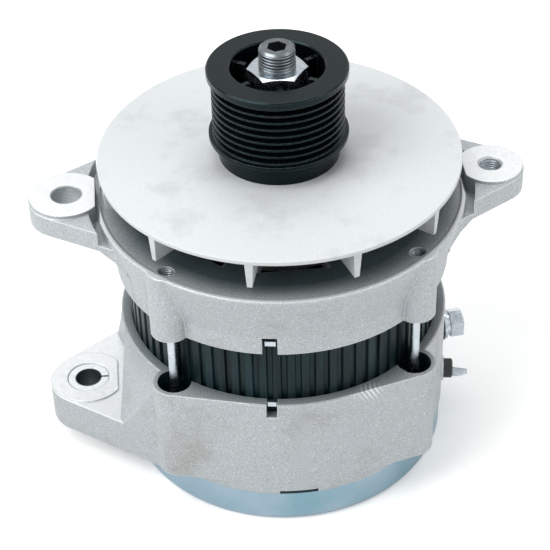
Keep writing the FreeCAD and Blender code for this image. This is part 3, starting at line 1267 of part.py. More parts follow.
def terminals():
    """Output stud with its insulators, washers and nut, and the phase terminal."""
    spot = ("output_angle", "output_height")
    bore = "output_stud_rad + seat_slip"
    radial_piece("output_stud", [
        ("strap_out + output_head", 0), ("output_nut_top + output_proud", 0),
        ("output_nut_top + output_proud", "output_stud_rad - edge_break"),
        ("output_nut_top + output_proud - edge_break", "output_stud_rad"),
        ("strap_out + output_head", "output_stud_rad")], *spot,
        hexed=("output_nut_flat", "strap_out", "strap_out + output_head"))
    radial_piece("output_insulator", [
        ("inner_rad - 2.6", bore), ("output_washer_low", bore),
        ("output_washer_low", "output_flange_rad"), ("output_face + 0.05", "output_flange_rad"),
        ("output_face + 0.05", "output_bush_rad"), ("inner_rad - 2.6", "output_bush_rad")], *spot)
    radial_piece("output_washer", ring_outline(
        "output_washer_low", "output_spring_low", bore, "output_flange_rad - 0.4"), *spot)
    radial_piece("output_spring_washer", ring_outline(
        "output_spring_low", "output_nut_low", bore, "output_nut_flat / 2 - 0.4"), *spot)
    radial_piece("output_nut", None, *spot,
                 hexed=("output_nut_flat", "output_nut_low", "output_nut_top"),
                 bored=(bore, "output_nut_low - 1", "output_nut_top + 1"))
    strap = new_body("output_strap")
    pad(strap, "sink_low + sink_thick", "output_height + output_nut_flat / 2", corners=box_on_ray(
        "strap_out - strap_thick", "strap_out", "strap_half", "output_angle"))
    keep(strap, "output_strap")
    spot = ("phase_angle", "phase_height")
    radial_piece("phase_insulator", [
        ("inner_rad - 2", 0), ("phase_tip", 0), ("phase_tip", "phase_rad - 0.9"),
        ("phase_tip - 0.6", "phase_rad"), ("output_face + 0.05", "phase_rad"),
        ("output_face + 0.05", "phase_neck"), ("inner_rad - 2", "phase_neck")], *spot)
    blade = new_body("phase_blade")
    half = "(blade_wide / 2)"
    pad(blade, "-blade_thin / 2 - 1.5", "blade_thin / 2 - 1.5", corners=[
        ("phase_tip", f"-{half} - 1"), (f"phase_tip + blade_reach * 0.35", f"-{half} - 1"),
        ("phase_tip + blade_reach", f"-{half} + 1.2"), ("phase_tip + blade_reach", f"{half} - 2.2"),
        ("phase_tip", f"{half} - 1")])
    place_on_ray(blade, *spot)
    keep(blade, "phase_blade")


rear_cover()
cover_screws()
rear_bracket()
split_bush()
front_bracket()
through_bolts()
stator_core()
stator_winding()
stator_keys()
rotor_poles()
rotor_shaft()
shaft_spacers()
ball_bearing("front_bearing", "front_ring_low", "front_ring_wide", "shaft_front",
             "front_ring_rad", "front_ball", "front_pitch")
ball_bearing("rear_bearing", "floor_high", "rear_ring_wide", "shaft_tail",
             "rear_ring_rad", "rear_ball", "rear_pitch")
bearing_retainer()
field_assembly()
fan()
pulley()
pulley_fastening()
heat_sinks()
regulator()
terminals()

doc.recompute()
faults = [item.Label for item in doc.Objects if {"Invalid", "Error"} & set(item.State)]
faults += [item.Label for item in NODES if item.Shape.isNull() or not item.Shape.isValid()]
if faults:
    sys.exit("not built: " + ", ".join(sorted(set(faults))))
for item in NODES:
    item.Shape.exportStep(os.path.join("parts", item.Label + ".step"))
    print(f"{item.Label:28s} solids {len(item.Shape.Solids):2d}  volume {item.Shape.Volume:12.1f}")
print(len(NODES), "sub-parts")
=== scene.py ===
import math

import bpy
from mathutils import Matrix, Vector


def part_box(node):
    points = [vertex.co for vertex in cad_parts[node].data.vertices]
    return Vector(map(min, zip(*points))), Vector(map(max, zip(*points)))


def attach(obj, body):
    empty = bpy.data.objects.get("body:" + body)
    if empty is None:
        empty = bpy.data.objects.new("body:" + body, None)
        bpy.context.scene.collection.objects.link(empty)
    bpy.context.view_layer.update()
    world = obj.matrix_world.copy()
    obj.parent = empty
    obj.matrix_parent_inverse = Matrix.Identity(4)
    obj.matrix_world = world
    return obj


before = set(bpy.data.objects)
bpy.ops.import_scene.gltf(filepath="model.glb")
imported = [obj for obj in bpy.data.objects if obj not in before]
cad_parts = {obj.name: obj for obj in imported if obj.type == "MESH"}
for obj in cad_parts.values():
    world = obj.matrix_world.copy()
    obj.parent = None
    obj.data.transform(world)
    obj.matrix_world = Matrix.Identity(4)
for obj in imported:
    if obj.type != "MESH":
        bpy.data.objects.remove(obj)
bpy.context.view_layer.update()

scene = bpy.context.scene
MM = 0.001


# Camera and view
# The camera stands in front of the part, a little to its left, and looks down on it at
# about 38 degrees, as a product shot of a part standing on its rear cover.

FOCAL_PIXELS = 1695.8   # focal length, in pixels of the photograph
FRAME_PIXELS = 550      # width of the photograph
SENSOR = 36             # mm, width of Blender's sensor
STAND = (-0.05292, -0.64369, 0.60194)   # m
PAN, DOWN, ROLL = -4.375, 38.471, -1.6653   # degrees
lens = bpy.data.cameras.new("camera")
lens.lens = FOCAL_PIXELS * SENSOR / FRAME_PIXELS
lens.clip_end = 10
camera = bpy.data.objects.new("camera", lens)
scene.collection.objects.link(camera)
camera.matrix_world = (
    Matrix.Translation(STAND)
    @ Matrix.Rotation(math.radians(PAN), 4, "Z")
    @ Matrix.Rotation(math.radians(90 - DOWN), 4, "X")
    @ Matrix.Rotation(math.radians(ROLL), 4, "Z")
)
scene.camera = camera
scene.view_settings.view_transform = "Standard"


# Floor
# A smooth matt white studio floor, which runs out of the frame on every side.
# It takes a soft shadow round the foot of the part and is white elsewhere.

def linear(colour):
    """A linear colour from an sRGB hex value."""
    parts = [int(colour[place:place + 2], 16) / 255 for place in (1, 3, 5)]
    return tuple(p / 12.92 if p <= 0.04045 else ((p + 0.055) / 1.055) ** 2.4 for p in parts) + (1,)


def add(tree, kind, inputs=None, **settings):
    """Add a node with its settings; an input takes a value or another node's output."""
    node = tree.nodes.new(kind)
    for name, value in settings.items():
        setattr(node, name, value)
    for name, value in (inputs or {}).items():
        if isinstance(value, bpy.types.NodeSocket):
            tree.links.new(value, node.inputs[name])
        else:
            node.inputs[name].default_value = value
    return node


REACH = 3.0       # m, from the middle of the floor to its edge
SHADOW_END, EDGE_OF_LAMPS = 0.2, 1.3   # m from the middle; the lift grows between the two
floor_mesh = bpy.data.meshes.new("floor")
floor_mesh.from_pydata(
    [(-REACH, -REACH, 0), (REACH, -REACH, 0), (REACH, REACH, 0), (-REACH, REACH, 0)],
    [], [(0, 1, 2, 3)])
floor = bpy.data.objects.new("floor", floor_mesh)
scene.collection.objects.link(floor)

# Matt white paint: lifted to white for the camera and for reflections where the lamps fade
floor_paint = bpy.data.materials.new("matt_white_floor")
floor_paint.use_nodes = True
tree = floor_paint.node_tree
paint = tree.nodes["Principled BSDF"]
paint.inputs["Base Color"].default_value = linear("#EDEDED")
paint.inputs["Roughness"].default_value = 0.9
rays = add(tree, "ShaderNodeLightPath")
seen = add(tree, "ShaderNodeMath", {0: rays.outputs["Is Camera Ray"],
                                    1: rays.outputs["Is Glossy Ray"]}, operation="MAXIMUM")
seen = add(tree, "ShaderNodeMath", {0: seen.outputs[0], 1: rays.outputs["Is Transmission Ray"]},
           operation="MAXIMUM")
away = add(tree, "ShaderNodeVectorMath", {0: add(tree, "ShaderNodeTexCoord").outputs["Object"]},
           operation="LENGTH").outputs["Value"]
even = add(tree, "ShaderNodeMapRange", {"Value": away, "From Min": SHADOW_END,
                                        "From Max": EDGE_OF_LAMPS, "To Min": 0.24,
                                        "To Max": 0.75})
lift = add(tree, "ShaderNodeMath", {0: seen.outputs[0], 1: even.outputs[0]}, operation="MULTIPLY")
paint.inputs["Emission Color"].default_value = (1, 1, 1, 1)
tree.links.new(lift.outputs[0], paint.inputs["Emission Strength"])
floor.data.materials.append(floor_paint)


# Light
# A white room with a large soft box high on the left, one overhead and a weaker one on the
# right, so that every side is lit and the shadow stays soft.

ROOM_LIGHT = 0.36  # the walls' light on dull surfaces; to the camera and in metal they are white
AIM = Vector((0, 0, 0.09))   # m, the middle of the part
world = bpy.data.worlds.new("white_room")
scene.world = world
world.use_nodes = True
sky = world.node_tree.nodes["Background"]
sky.inputs["Color"].default_value = (1, 1, 1, 1)
tree = world.node_tree
rays = add(tree, "ShaderNodeLightPath")
seen = add(tree, "ShaderNodeMath", {0: rays.outputs["Is Camera Ray"],
                                    1: rays.outputs["Is Glossy Ray"]}, operation="MAXIMUM")
seen = add(tree, "ShaderNodeMath", {0: seen.outputs[0], 1: rays.outputs["Is Transmission Ray"]},
           operation="MAXIMUM")
plain = add(tree, "ShaderNodeMapRange", {"Value": seen.outputs[0], "To Min": ROOM_LIGHT,
                                         "To Max": 1.0})
tree.links.new(plain.outputs[0], sky.inputs["Strength"])

# Name, place in m, width in m, power in W
for name, place, size, power in (
        ("soft_box_left", (-0.8, -0.35, 1.1), 1.0, 17.0),
        ("soft_box_right", (0.95, -0.5, 0.7), 0.8, 5.0),
        ("soft_box_top", (0.05, 0.3, 1.5), 0.9, 9.0)):
    lamp = bpy.data.lights.new(name, "AREA")
    lamp.energy = power
    lamp.size = size
    light = bpy.data.objects.new(name, lamp)
    scene.collection.objects.link(light)
    aim = AIM - Vector(place)
    light.matrix_world = (
        Matrix.Translation(place) @ aim.to_track_quat("-Z", "Y").to_matrix().to_4x4())


# Front and rear brackets
# Two aluminium castings, sand cast and then shot blasted to an even pale grey.
# The lip, the upper ears' faces and the foot's face are turned or milled bright afterwards.

def new_finish(name, colour, metallic, roughness):
    """A material with its shader's plain values set."""
    material = bpy.data.materials.new(name)
    material.use_nodes = True
    shader = material.node_tree.nodes["Principled BSDF"]
    shader.inputs["Base Color"].default_value = linear(colour)
    shader.inputs["Metallic"].default_value = metallic
    shader.inputs["Roughness"].default_value = roughness
    return material, material.node_tree, shader


def dress(material, *names):
    """Give CAD nodes a material."""
    for name in names:
        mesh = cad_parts[name].data
        mesh.materials.clear()
        mesh.materials.append(material)


GRIT = 0.65       # mm, blast marks, drawn coarser than the real 0.4 mm so that they show
BLOTCH = 40.0     # mm, faint handling stains
LEVELS = 141.9, 146.2, 33.0   # mm, heights of the lip, the upper ears and the foot's face
LEVEL_SPAN = 0.8  # mm, machined metal shows this far from its level
BOWL_EDGE, BOWL_DARK = 82.0, 71.0   # mm, radii between which the painted shade under the fan deepens
BOWL_LOW = 125.0  # mm, height of the lowest surface of the front bowl
RIM_MIDDLE, RIM_SPAN = 70.0, 7.0    # mm, height of the rear rim's slopes, and half their rise
POCKET_AT = 56.0  # mm, each bolt pocket from both middle planes
POCKET_RADIUS = 8.1   # mm
POCKET_TOP = 77.0     # mm, just over the rear rim
ROUNDING = 0.9    # mm, radius of the cast edges
WAVE = 0.314      # a wave texture's period at scale 1
SCRATCH = 3.0     # mm, length of the scratches on machined faces
CUT_STEP = 1.9    # mm, from one tool mark to the next
CUT_MIDDLE = (34 * MM, -75 * MM, 75 * MM)   # m, where the rim was dressed
CUT_REACH, CUT_FULL = 8.0, 2.0   # mm from there; the marks fade out between the two

# Shot blasted casting: a dull grey with painted glints and faint stains; machined faces shine, worn
# edges carry painted highlights, and painted shade darkens the bowl under the fan, the rear rim and
# the bolt pockets
material, tree, shader = new_finish("blasted_aluminium", "#A9AEB1", 0.5, 0.5)
spot = add(tree, "ShaderNodeTexCoord").outputs["Object"]
grit = add(tree, "ShaderNodeTexNoise", {"Vector": spot, "Scale": 1 / (GRIT * MM), "Detail": 3.0})
blotch = add(tree, "ShaderNodeTexNoise", {"Vector": spot, "Scale": 1 / (BLOTCH * MM), "Detail": 5.0,
                                          "Roughness": 0.65})
speck = add(tree, "ShaderNodeMapRange", {"Value": grit.outputs["Fac"], "From Min": 0.3,
                                         "From Max": 0.7})
cast = add(tree, "ShaderNodeMix", {"Factor": speck.outputs[0], "A": linear("#989EA1"),
                                   "B": linear("#B7BCBE")}, data_type="RGBA")
stain = add(tree, "ShaderNodeMapRange", {"Value": blotch.outputs["Fac"], "From Min": 0.55,
                                         "From Max": 0.72, "To Max": 0.45})
cast = add(tree, "ShaderNodeMix", {"Factor": stain.outputs[0], "A": cast.outputs["Result"],
                                   "B": linear("#857F77")}, data_type="RGBA")
# Painted glints: the brightest blast specks are lifted to near white
painted_glint = add(tree, "ShaderNodeMapRange", {"Value": grit.outputs["Fac"], "From Min": 0.66,
                                         "From Max": 0.72, "To Max": 0.6})
cast = add(tree, "ShaderNodeMix", {"Factor": painted_glint.outputs[0], "A": cast.outputs["Result"],
                                   "B": linear("#EDEFF0")}, data_type="RGBA")
height = add(tree, "ShaderNodeSeparateXYZ", {"Vector": spot}).outputs["Z"]
normal = add(tree, "ShaderNodeNewGeometry").outputs["Normal"]
facing = add(tree, "ShaderNodeSeparateXYZ", {"Vector": normal}).outputs["Z"]

# Painted shade: the bowl under the fan, the rear rim's slopes and the bolt pockets are darkened
# where shadow falls on them
flat = add(tree, "ShaderNodeMapping", {"Vector": spot, "Scale": (1, 1, 0)}).outputs[0]
radius = add(tree, "ShaderNodeVectorMath", {0: flat}, operation="LENGTH").outputs["Value"]
under_fan_painted_shade = add(tree, "ShaderNodeMapRange", {"Value": radius, "From Min": BOWL_EDGE * MM,
                                         "From Max": BOWL_DARK * MM, "To Max": 0.85})
high = add(tree, "ShaderNodeMath", {0: height, 1: BOWL_LOW * MM}, operation="GREATER_THAN")
rim = add(tree, "ShaderNodeMath", {0: height, 1: RIM_MIDDLE * MM, 2: RIM_SPAN * MM},
          operation="COMPARE")
high = add(tree, "ShaderNodeMath", {0: high.outputs[0], 1: rim.outputs[0]}, operation="MAXIMUM")
bowl_painted_shade = add(tree, "ShaderNodeMath", {0: facing, 1: 0.05}, operation="GREATER_THAN")
bowl_painted_shade = add(tree, "ShaderNodeMath", {0: bowl_painted_shade.outputs[0], 1: high.outputs[0]}, operation="MULTIPLY")
bowl_painted_shade = add(tree, "ShaderNodeMath", {0: bowl_painted_shade.outputs[0], 1: under_fan_painted_shade.outputs[0]}, operation="MULTIPLY")
corner = add(tree, "ShaderNodeVectorMath", {0: flat}, operation="ABSOLUTE").outputs["Vector"]
away = add(tree, "ShaderNodeVectorMath", {0: corner, 1: (POCKET_AT * MM, POCKET_AT * MM, 0)},
           operation="DISTANCE").outputs["Value"]
pocket_painted_shade = add(tree, "ShaderNodeMath", {0: away, 1: POCKET_RADIUS * MM}, operation="LESS_THAN")
low = add(tree, "ShaderNodeMath", {0: height, 1: POCKET_TOP * MM}, operation="LESS_THAN")
pocket_painted_shade = add(tree, "ShaderNodeMath", {0: pocket_painted_shade.outputs[0], 1: low.outputs[0]},
             operation="MULTIPLY")
painted_shade_in_hollows = add(tree, "ShaderNodeMath", {0: pocket_painted_shade.outputs[0], 1: bowl_painted_shade.outputs[0]}, operation="MAXIMUM")
# Painted shade colour, a dark teal
cast = add(tree, "ShaderNodeMix", {"Factor": painted_shade_in_hollows.outputs[0], "A": cast.outputs["Result"],
                                   "B": linear("#1E3A40")}, data_type="RGBA")

machined = 0.0
for level in LEVELS:
    here = add(tree, "ShaderNodeMath", {0: height, 1: level * MM, 2: LEVEL_SPAN * MM},
               operation="COMPARE").outputs[0]
    machined = add(tree, "ShaderNodeMath", {0: machined, 1: here}, operation="MAXIMUM").outputs[0]
upward = add(tree, "ShaderNodeMath", {0: facing, 1: 0.8}, operation="GREATER_THAN").outputs[0]
machined = add(tree, "ShaderNodeMath", {0: machined, 1: upward}, operation="MULTIPLY").outputs[0]
scratch = add(tree, "ShaderNodeTexNoise", {"Vector": spot, "Scale": 1 / (SCRATCH * MM),
                                           "Detail": 6.0, "Distortion": 1.5})
bright = add(tree, "ShaderNodeMix", {"Factor": scratch.outputs["Fac"], "A": linear("#C8CCCE"),
                                     "B": linear("#ECEEEF")}, data_type="RGBA")
colour = add(tree, "ShaderNodeMix", {"Factor": machined, "A": cast.outputs["Result"],
                                     "B": bright.outputs["Result"]}, data_type="RGBA")

# Tool marks where the rim was dressed by hand: short bright cuts across the corner
marks = add(tree, "ShaderNodeTexWave", {
    "Vector": add(tree, "ShaderNodeMapping", {"Vector": spot, "Rotation": (0, 0.5, 0)}).outputs[0],
    "Scale": WAVE / (CUT_STEP * MM), "Distortion": 1.2, "Detail": 2.0, "Detail Scale": 0.6})
away = add(tree, "ShaderNodeVectorMath", {0: spot, 1: CUT_MIDDLE},
           operation="DISTANCE").outputs["Value"]
near = add(tree, "ShaderNodeMapRange", {"Value": away, "From Min": CUT_REACH * MM,
                                        "From Max": CUT_FULL * MM, "To Max": 0.8})
cut = add(tree, "ShaderNodeMapRange", {"Value": marks.outputs["Fac"], "From Min": 0.6,
                                       "From Max": 0.95})
cut = add(tree, "ShaderNodeMath", {0: near.outputs[0], 1: cut.outputs[0]}, operation="MULTIPLY")
colour = add(tree, "ShaderNodeMix", {"Factor": cut.outputs[0], "A": colour.outputs["Result"],
                                     "B": linear("#F4F6F7")}, data_type="RGBA")

# Worn edges and painted edge highlights: near white where the rounded normal leaves the face's own
rounded = add(tree, "ShaderNodeBevel", {"Radius": ROUNDING * MM}, samples=4)
bend = add(tree, "ShaderNodeVectorMath", {0: rounded.outputs[0], 1: normal},
           operation="DOT_PRODUCT")
worn_edge_highlight = add(tree, "ShaderNodeMapRange", {"Value": bend.outputs["Value"], "From Min": 0.98,
                                        "From Max": 0.85, "To Max": 0.6})
colour = add(tree, "ShaderNodeMix", {"Factor": worn_edge_highlight.outputs[0], "A": colour.outputs["Result"],
                                     "B": linear("#F4F6F7")}, data_type="RGBA")
tree.links.new(colour.outputs["Result"], shader.inputs["Base Color"])

dull = add(tree, "ShaderNodeMapRange", {"Value": grit.outputs["Fac"], "From Min": 0.3,
                                        "From Max": 0.7, "To Min": 0.62, "To Max": 0.44})
polish = add(tree, "ShaderNodeMix", {"Factor": machined, "A": dull.outputs[0], "B": 0.38},
             data_type="FLOAT")
tree.links.new(polish.outputs["Result"], shader.inputs["Roughness"])
relief = add(tree, "ShaderNodeBump", {"Height": grit.outputs["Fac"], "Strength": 0.25,
                                      "Distance": 0.2 * MM, "Normal": rounded.outputs[0]})
tree.links.new(relief.outputs[0], shader.inputs["Normal"])
dress(material, "front_bracket", "rear_bracket")


# Stator
# A stack of steel laminations, fluted outside, dipped in insulating varnish and baked.
# The varnish runs down the flutes and dries glossy blue-black; the edges show through.

material, tree, shader = new_finish("baked_stator_varnish", "#0B1416", 0.0, 0.4)
shader.inputs["Specular IOR Level"].default_value = 0.24
shader.inputs["Specular Tint"].default_value = linear("#B4DCE4")
shader.inputs["Coat Weight"].default_value = 0.06
shader.inputs["Coat Roughness"].default_value = 0.2
spot = add(tree, "ShaderNodeTexCoord").outputs["Object"]
LAMINATION = 1.0  # mm, drawn twice as thick as the real sheet so that the edges show
RUN = 4.0         # mm, width of a run of varnish
runs = add(tree, "ShaderNodeTexNoise", {
    "Vector": add(tree, "ShaderNodeMapping", {"Vector": spot, "Scale": (1, 1, 0.12)}).outputs[0],
    "Scale": 1 / (RUN * MM), "Detail": 4.0})
sheet = add(tree, "ShaderNodeTexWave", {"Vector": spot, "Scale": WAVE / (LAMINATION * MM),
                                        "Distortion": 0.4}, bands_direction="Z")
tone = add(tree, "ShaderNodeMix", {"Factor": add(tree, "ShaderNodeMapRange", {
    "Value": runs.outputs["Fac"], "From Min": 0.4, "From Max": 0.7}).outputs[0],
    "A": linear("#040B0D"), "B": linear("#12262B")}, data_type="RGBA")
tree.links.new(tone.outputs["Result"], shader.inputs["Base Color"])
relief = add(tree, "ShaderNodeBump", {"Height": sheet.outputs["Fac"], "Strength": 0.2,
                                      "Distance": 0.15 * MM})
relief = add(tree, "ShaderNodeBump", {"Height": runs.outputs["Fac"], "Strength": 0.5,
                                      "Distance": 0.6 * MM, "Normal": relief.outputs[0]})
tree.links.new(relief.outputs[0], shader.inputs["Normal"])
dress(material, "stator_core")


# Winding, field coil and copper strap
# Enamelled copper wire wound in bundles, and a bare copper strap to the output stud.
# The enamel is a clear amber film over bright copper.

material, tree, shader = new_finish("enamelled_copper", "#B4693A", 1.0, 0.35)
shader.inputs["Coat Weight"].default_value = 0.4
spot = add(tree, "ShaderNodeTexCoord").outputs["Object"]
WIRE = 1.6        # mm, wire with its enamel
strands = add(tree, "ShaderNodeTexWave", {"Vector": spot, "Scale": WAVE / (WIRE * MM),
                                          "Distortion": 3.0, "Detail": 2.0}, bands_direction="Z")
tone = add(tree, "ShaderNodeMix", {"Factor": strands.outputs["Fac"], "A": linear("#7A3F1E"),
                                   "B": linear("#C98049")}, data_type="RGBA")
tree.links.new(tone.outputs["Result"], shader.inputs["Base Color"])
relief = add(tree, "ShaderNodeBump", {"Height": strands.outputs["Fac"], "Strength": 0.6,
                                      "Distance": 0.4 * MM})
tree.links.new(relief.outputs[0], shader.inputs["Normal"])
dress(material, "stator_winding", "field_coil", "output_strap")


# Fan
# A cast aluminium disc with straight blades under it, fine blasted and nearly white.
# Handling leaves faint grey smudges on its face; small dents are drawn as grey spots of painted
# shade.

material, tree, shader = new_finish("fine_blasted_aluminium", "#C2C6C8", 0.2, 0.62)
spot = add(tree, "ShaderNodeTexCoord").outputs["Object"]
GRAIN = 0.9       # mm, fine blast marks, drawn coarser than the real 0.2 mm so that they show
SMUDGE = 28       # mm, handling marks
DENT_STEP = 38    # mm, from one small dent to the next
grain = add(tree, "ShaderNodeTexNoise", {"Vector": spot, "Scale": 1 / (GRAIN * MM), "Detail": 2.0})
smudge = add(tree, "ShaderNodeTexNoise", {"Vector": spot, "Scale": 1 / (SMUDGE * MM),
                                          "Detail": 5.0, "Roughness": 0.6})
dent_painted_shade_cells = add(tree, "ShaderNodeTexVoronoi", {"Vector": spot, "Scale": 1 / (DENT_STEP * MM)})
fine = add(tree, "ShaderNodeMix", {"Factor": grain.outputs["Fac"], "A": linear("#B6BABC"),
                                   "B": linear("#CED2D3")}, data_type="RGBA")
mark = add(tree, "ShaderNodeMapRange", {"Value": smudge.outputs["Fac"], "From Min": 0.52,
                                        "From Max": 0.66, "To Max": 0.26})
tone = add(tree, "ShaderNodeMix", {"Factor": mark.outputs[0], "A": fine.outputs["Result"],
                                   "B": linear("#8C8E8C")}, data_type="RGBA")
# Painted shade: grey spots stand in for the shading of small dents
dent_painted_shade = add(tree, "ShaderNodeMapRange", {"Value": dent_painted_shade_cells.outputs["Distance"], "From Min": 0.03,
                                        "From Max": 0.07, "To Min": 0.3, "To Max": 0.0})
tone = add(tree, "ShaderNodeMix", {"Factor": dent_painted_shade.outputs[0], "A": tone.outputs["Result"],
                                   "B": linear("#9EA3A5")}, data_type="RGBA")
tree.links.new(tone.outputs["Result"], shader.inputs["Base Color"])
relief = add(tree, "ShaderNodeBump", {"Height": grain.outputs["Fac"], "Strength": 0.2,
                                      "Distance": 0.15 * MM})
tree.links.new(relief.outputs[0], shader.inputs["Normal"])
dress(material, "fan")


# Pulley
# Turned steel, ribbed inside its recess, with eight belt grooves.
# It is dipped in a thin black paint that stays satin; its sharp crests are lightened, partly worn
# paint and partly painted highlight.

material, tree, shader = new_finish("satin_black_paint", "#05090A", 0.0, 0.28)
shader.inputs["Specular IOR Level"].default_value = 0.2
shader.inputs["Specular Tint"].default_value = linear("#9AD3DC")
shader.inputs["Coat Weight"].default_value = 0.08
shader.inputs["Coat Roughness"].default_value = 0.15
spot = add(tree, "ShaderNodeTexCoord").outputs["Object"]
DUST = 2.2        # mm, patches where the paint is thinner
dust = add(tree, "ShaderNodeTexNoise", {"Vector": spot, "Scale": 1 / (DUST * MM), "Detail": 5.0})
tone = add(tree, "ShaderNodeMix", {"Factor": dust.outputs["Fac"], "A": linear("#010304"),
                                   "B": linear("#070D0F")}, data_type="RGBA")
CREST = 0.5       # mm, radius of the painted crests
rounded = add(tree, "ShaderNodeBevel", {"Radius": CREST * MM}, samples=4)
normal = add(tree, "ShaderNodeNewGeometry").outputs["Normal"]
bend = add(tree, "ShaderNodeVectorMath", {0: rounded.outputs[0], 1: normal},
           operation="DOT_PRODUCT")
# Worn paint and painted highlight: the crests are lightened towards blue grey where the rounded
# normal bends
worn_edge_highlight = add(tree, "ShaderNodeMapRange", {"Value": bend.outputs["Value"], "From Min": 0.98,
                                        "From Max": 0.8, "To Max": 0.5})
worn_edge_highlight = add(tree, "ShaderNodeMath", {0: worn_edge_highlight.outputs[0], 1: dust.outputs["Fac"]},
           operation="MULTIPLY")
tone = add(tree, "ShaderNodeMix", {"Factor": worn_edge_highlight.outputs[0], "A": tone.outputs["Result"],
                                   "B": linear("#8A999E")}, data_type="RGBA")
tree.links.new(tone.outputs["Result"], shader.inputs["Base Color"])
sheen = add(tree, "ShaderNodeMapRange", {"Value": dust.outputs["Fac"], "From Min": 0.3,
                                         "From Max": 0.7, "To Min": 0.18, "To Max": 0.32})
tree.links.new(sheen.outputs[0], shader.inputs["Roughness"])
tree.links.new(rounded.outputs[0], shader.inputs["Normal"])
dress(material, "pulley")


# Nuts, washers and through bolts
# Steel fasteners with bright blue-white zinc plating, a little brushed by handling.
# The plating is smooth but never a mirror.

material, tree, shader = new_finish("bright_zinc_plate", "#CBD1D6", 1.0, 0.24)
spot = add(tree, "ShaderNodeTexCoord").outputs["Object"]
RUB = 3.0         # mm, patches rubbed duller by handling
BREAK = 0.4       # mm, radius of the edges of nuts and washers
cloud = add(tree, "ShaderNodeTexNoise", {"Vector": spot, "Scale": 1 / (RUB * MM), "Detail": 4.0})
tone = add(tree, "ShaderNodeMix", {"Factor": cloud.outputs["Fac"], "A": linear("#99A3AB"),
                                   "B": linear("#CDD4D9")}, data_type="RGBA")
tree.links.new(tone.outputs["Result"], shader.inputs["Base Color"])
polish = add(tree, "ShaderNodeMapRange", {"Value": cloud.outputs["Fac"], "From Min": 0.3,
                                          "From Max": 0.7, "To Min": 0.18, "To Max": 0.34})
tree.links.new(polish.outputs[0], shader.inputs["Roughness"])
rounded = add(tree, "ShaderNodeBevel", {"Radius": BREAK * MM}, samples=4)
tree.links.new(rounded.outputs[0], shader.inputs["Normal"])
dress(material, "pulley_nut", "lock_washer", "through_bolts", "output_washer",
      "output_spring_washer", "output_nut", "output_stud", "phase_blade", "cover_screws",
      "rectifier_screws", "rectifier_posts", "regulator_screws", "retainer_screws",
      "field_core_screws", "stator_keys")
zinc_plate = material


# Split bush
# A slit steel sleeve, zinc plated, a sliding fit in the foot ear.
# Its end face is bright and its bore is darkened with painted shade.

BORE = 6.3        # mm, radius of the sleeve's bore
BORE_SHADE_EDGE, BORE_SHADE_FULL = 0.5, 0.2   # mm past the bore, where the painted shade ends and where it is full
material, tree, shader = new_finish("zinc_plated_sleeve", "#D5DADE", 0.8, 0.4)
spot = add(tree, "ShaderNodeTexCoord").outputs["Object"]
middle = (Vector(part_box("split_bush")[0]) + Vector(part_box("split_bush")[1])) / 2
across = add(tree, "ShaderNodeMapping", {"Vector": spot, "Location": (-middle.x, -middle.y, 0),
                                         "Scale": (1, 1, 0)}).outputs[0]
away = add(tree, "ShaderNodeVectorMath", {0: across}, operation="LENGTH").outputs["Value"]
bore_painted_shade = add(tree, "ShaderNodeMapRange", {"Value": away, "From Min": (BORE + BORE_SHADE_EDGE) * MM,
                                          "From Max": (BORE + BORE_SHADE_FULL) * MM, "To Max": 0.95})
SHADE = 2.0       # mm, patches in the plating
cloud = add(tree, "ShaderNodeTexNoise", {"Vector": spot, "Scale": 1 / (SHADE * MM), "Detail": 4.0})
tone = add(tree, "ShaderNodeMix", {"Factor": cloud.outputs["Fac"], "A": linear("#C3CACF"),
                                   "B": linear("#F0F3F4")}, data_type="RGBA")
# Painted shade: the bore is darkened towards dark grey teal
tone = add(tree, "ShaderNodeMix", {"Factor": bore_painted_shade.outputs[0], "A": tone.outputs["Result"],
                                   "B": linear("#465254")}, data_type="RGBA")
tree.links.new(tone.outputs["Result"], shader.inputs["Base Color"])
dress(material, "split_bush")


# Shaft, bearings and spacers
# Ground and hardened steel, lightly oiled; the shaft's nose carries the thread of its nut.
# The thread's crests are rubbed bright and its grooves stay dark.

material, tree, shader = new_finish("ground_steel", "#8F9498", 1.0, 0.3)
spot = add(tree, "ShaderNodeTexCoord").outputs["Object"]
RING_STEP = 0.8   # mm, from one turning mark to the next, drawn coarse so that they show
rings = add(tree, "ShaderNodeTexNoise", {
    "Vector": add(tree, "ShaderNodeMapping", {"Vector": spot, "Scale": (0.2, 0.2, 1)}).outputs[0],
    "Scale": 1 / (RING_STEP * MM), "Detail": 3.0})
tone = add(tree, "ShaderNodeMix", {"Factor": rings.outputs["Fac"], "A": linear("#4C5155"),
                                   "B": linear("#8A9094")}, data_type="RGBA")
tree.links.new(tone.outputs["Result"], shader.inputs["Base Color"])
relief = add(tree, "ShaderNodeBump", {"Height": rings.outputs["Fac"], "Strength": 0.15,
                                      "Distance": 0.1 * MM})
tree.links.new(relief.outputs[0], shader.inputs["Normal"])
dress(material, "rotor_shaft", "rotor_spacer", "fan_spacer", "pulley_key", "bearing_retainer",
      "front_bearing_inner_ring", "front_bearing_outer_ring", "front_bearing_balls",
      "front_bearing_cage", "rear_bearing_inner_ring", "rear_bearing_outer_ring",
      "rear_bearing_balls", "rear_bearing_cage",
      "front_claw_pole", "rear_claw_pole", "pole_joining_ring", "field_core")
ground_steel = material

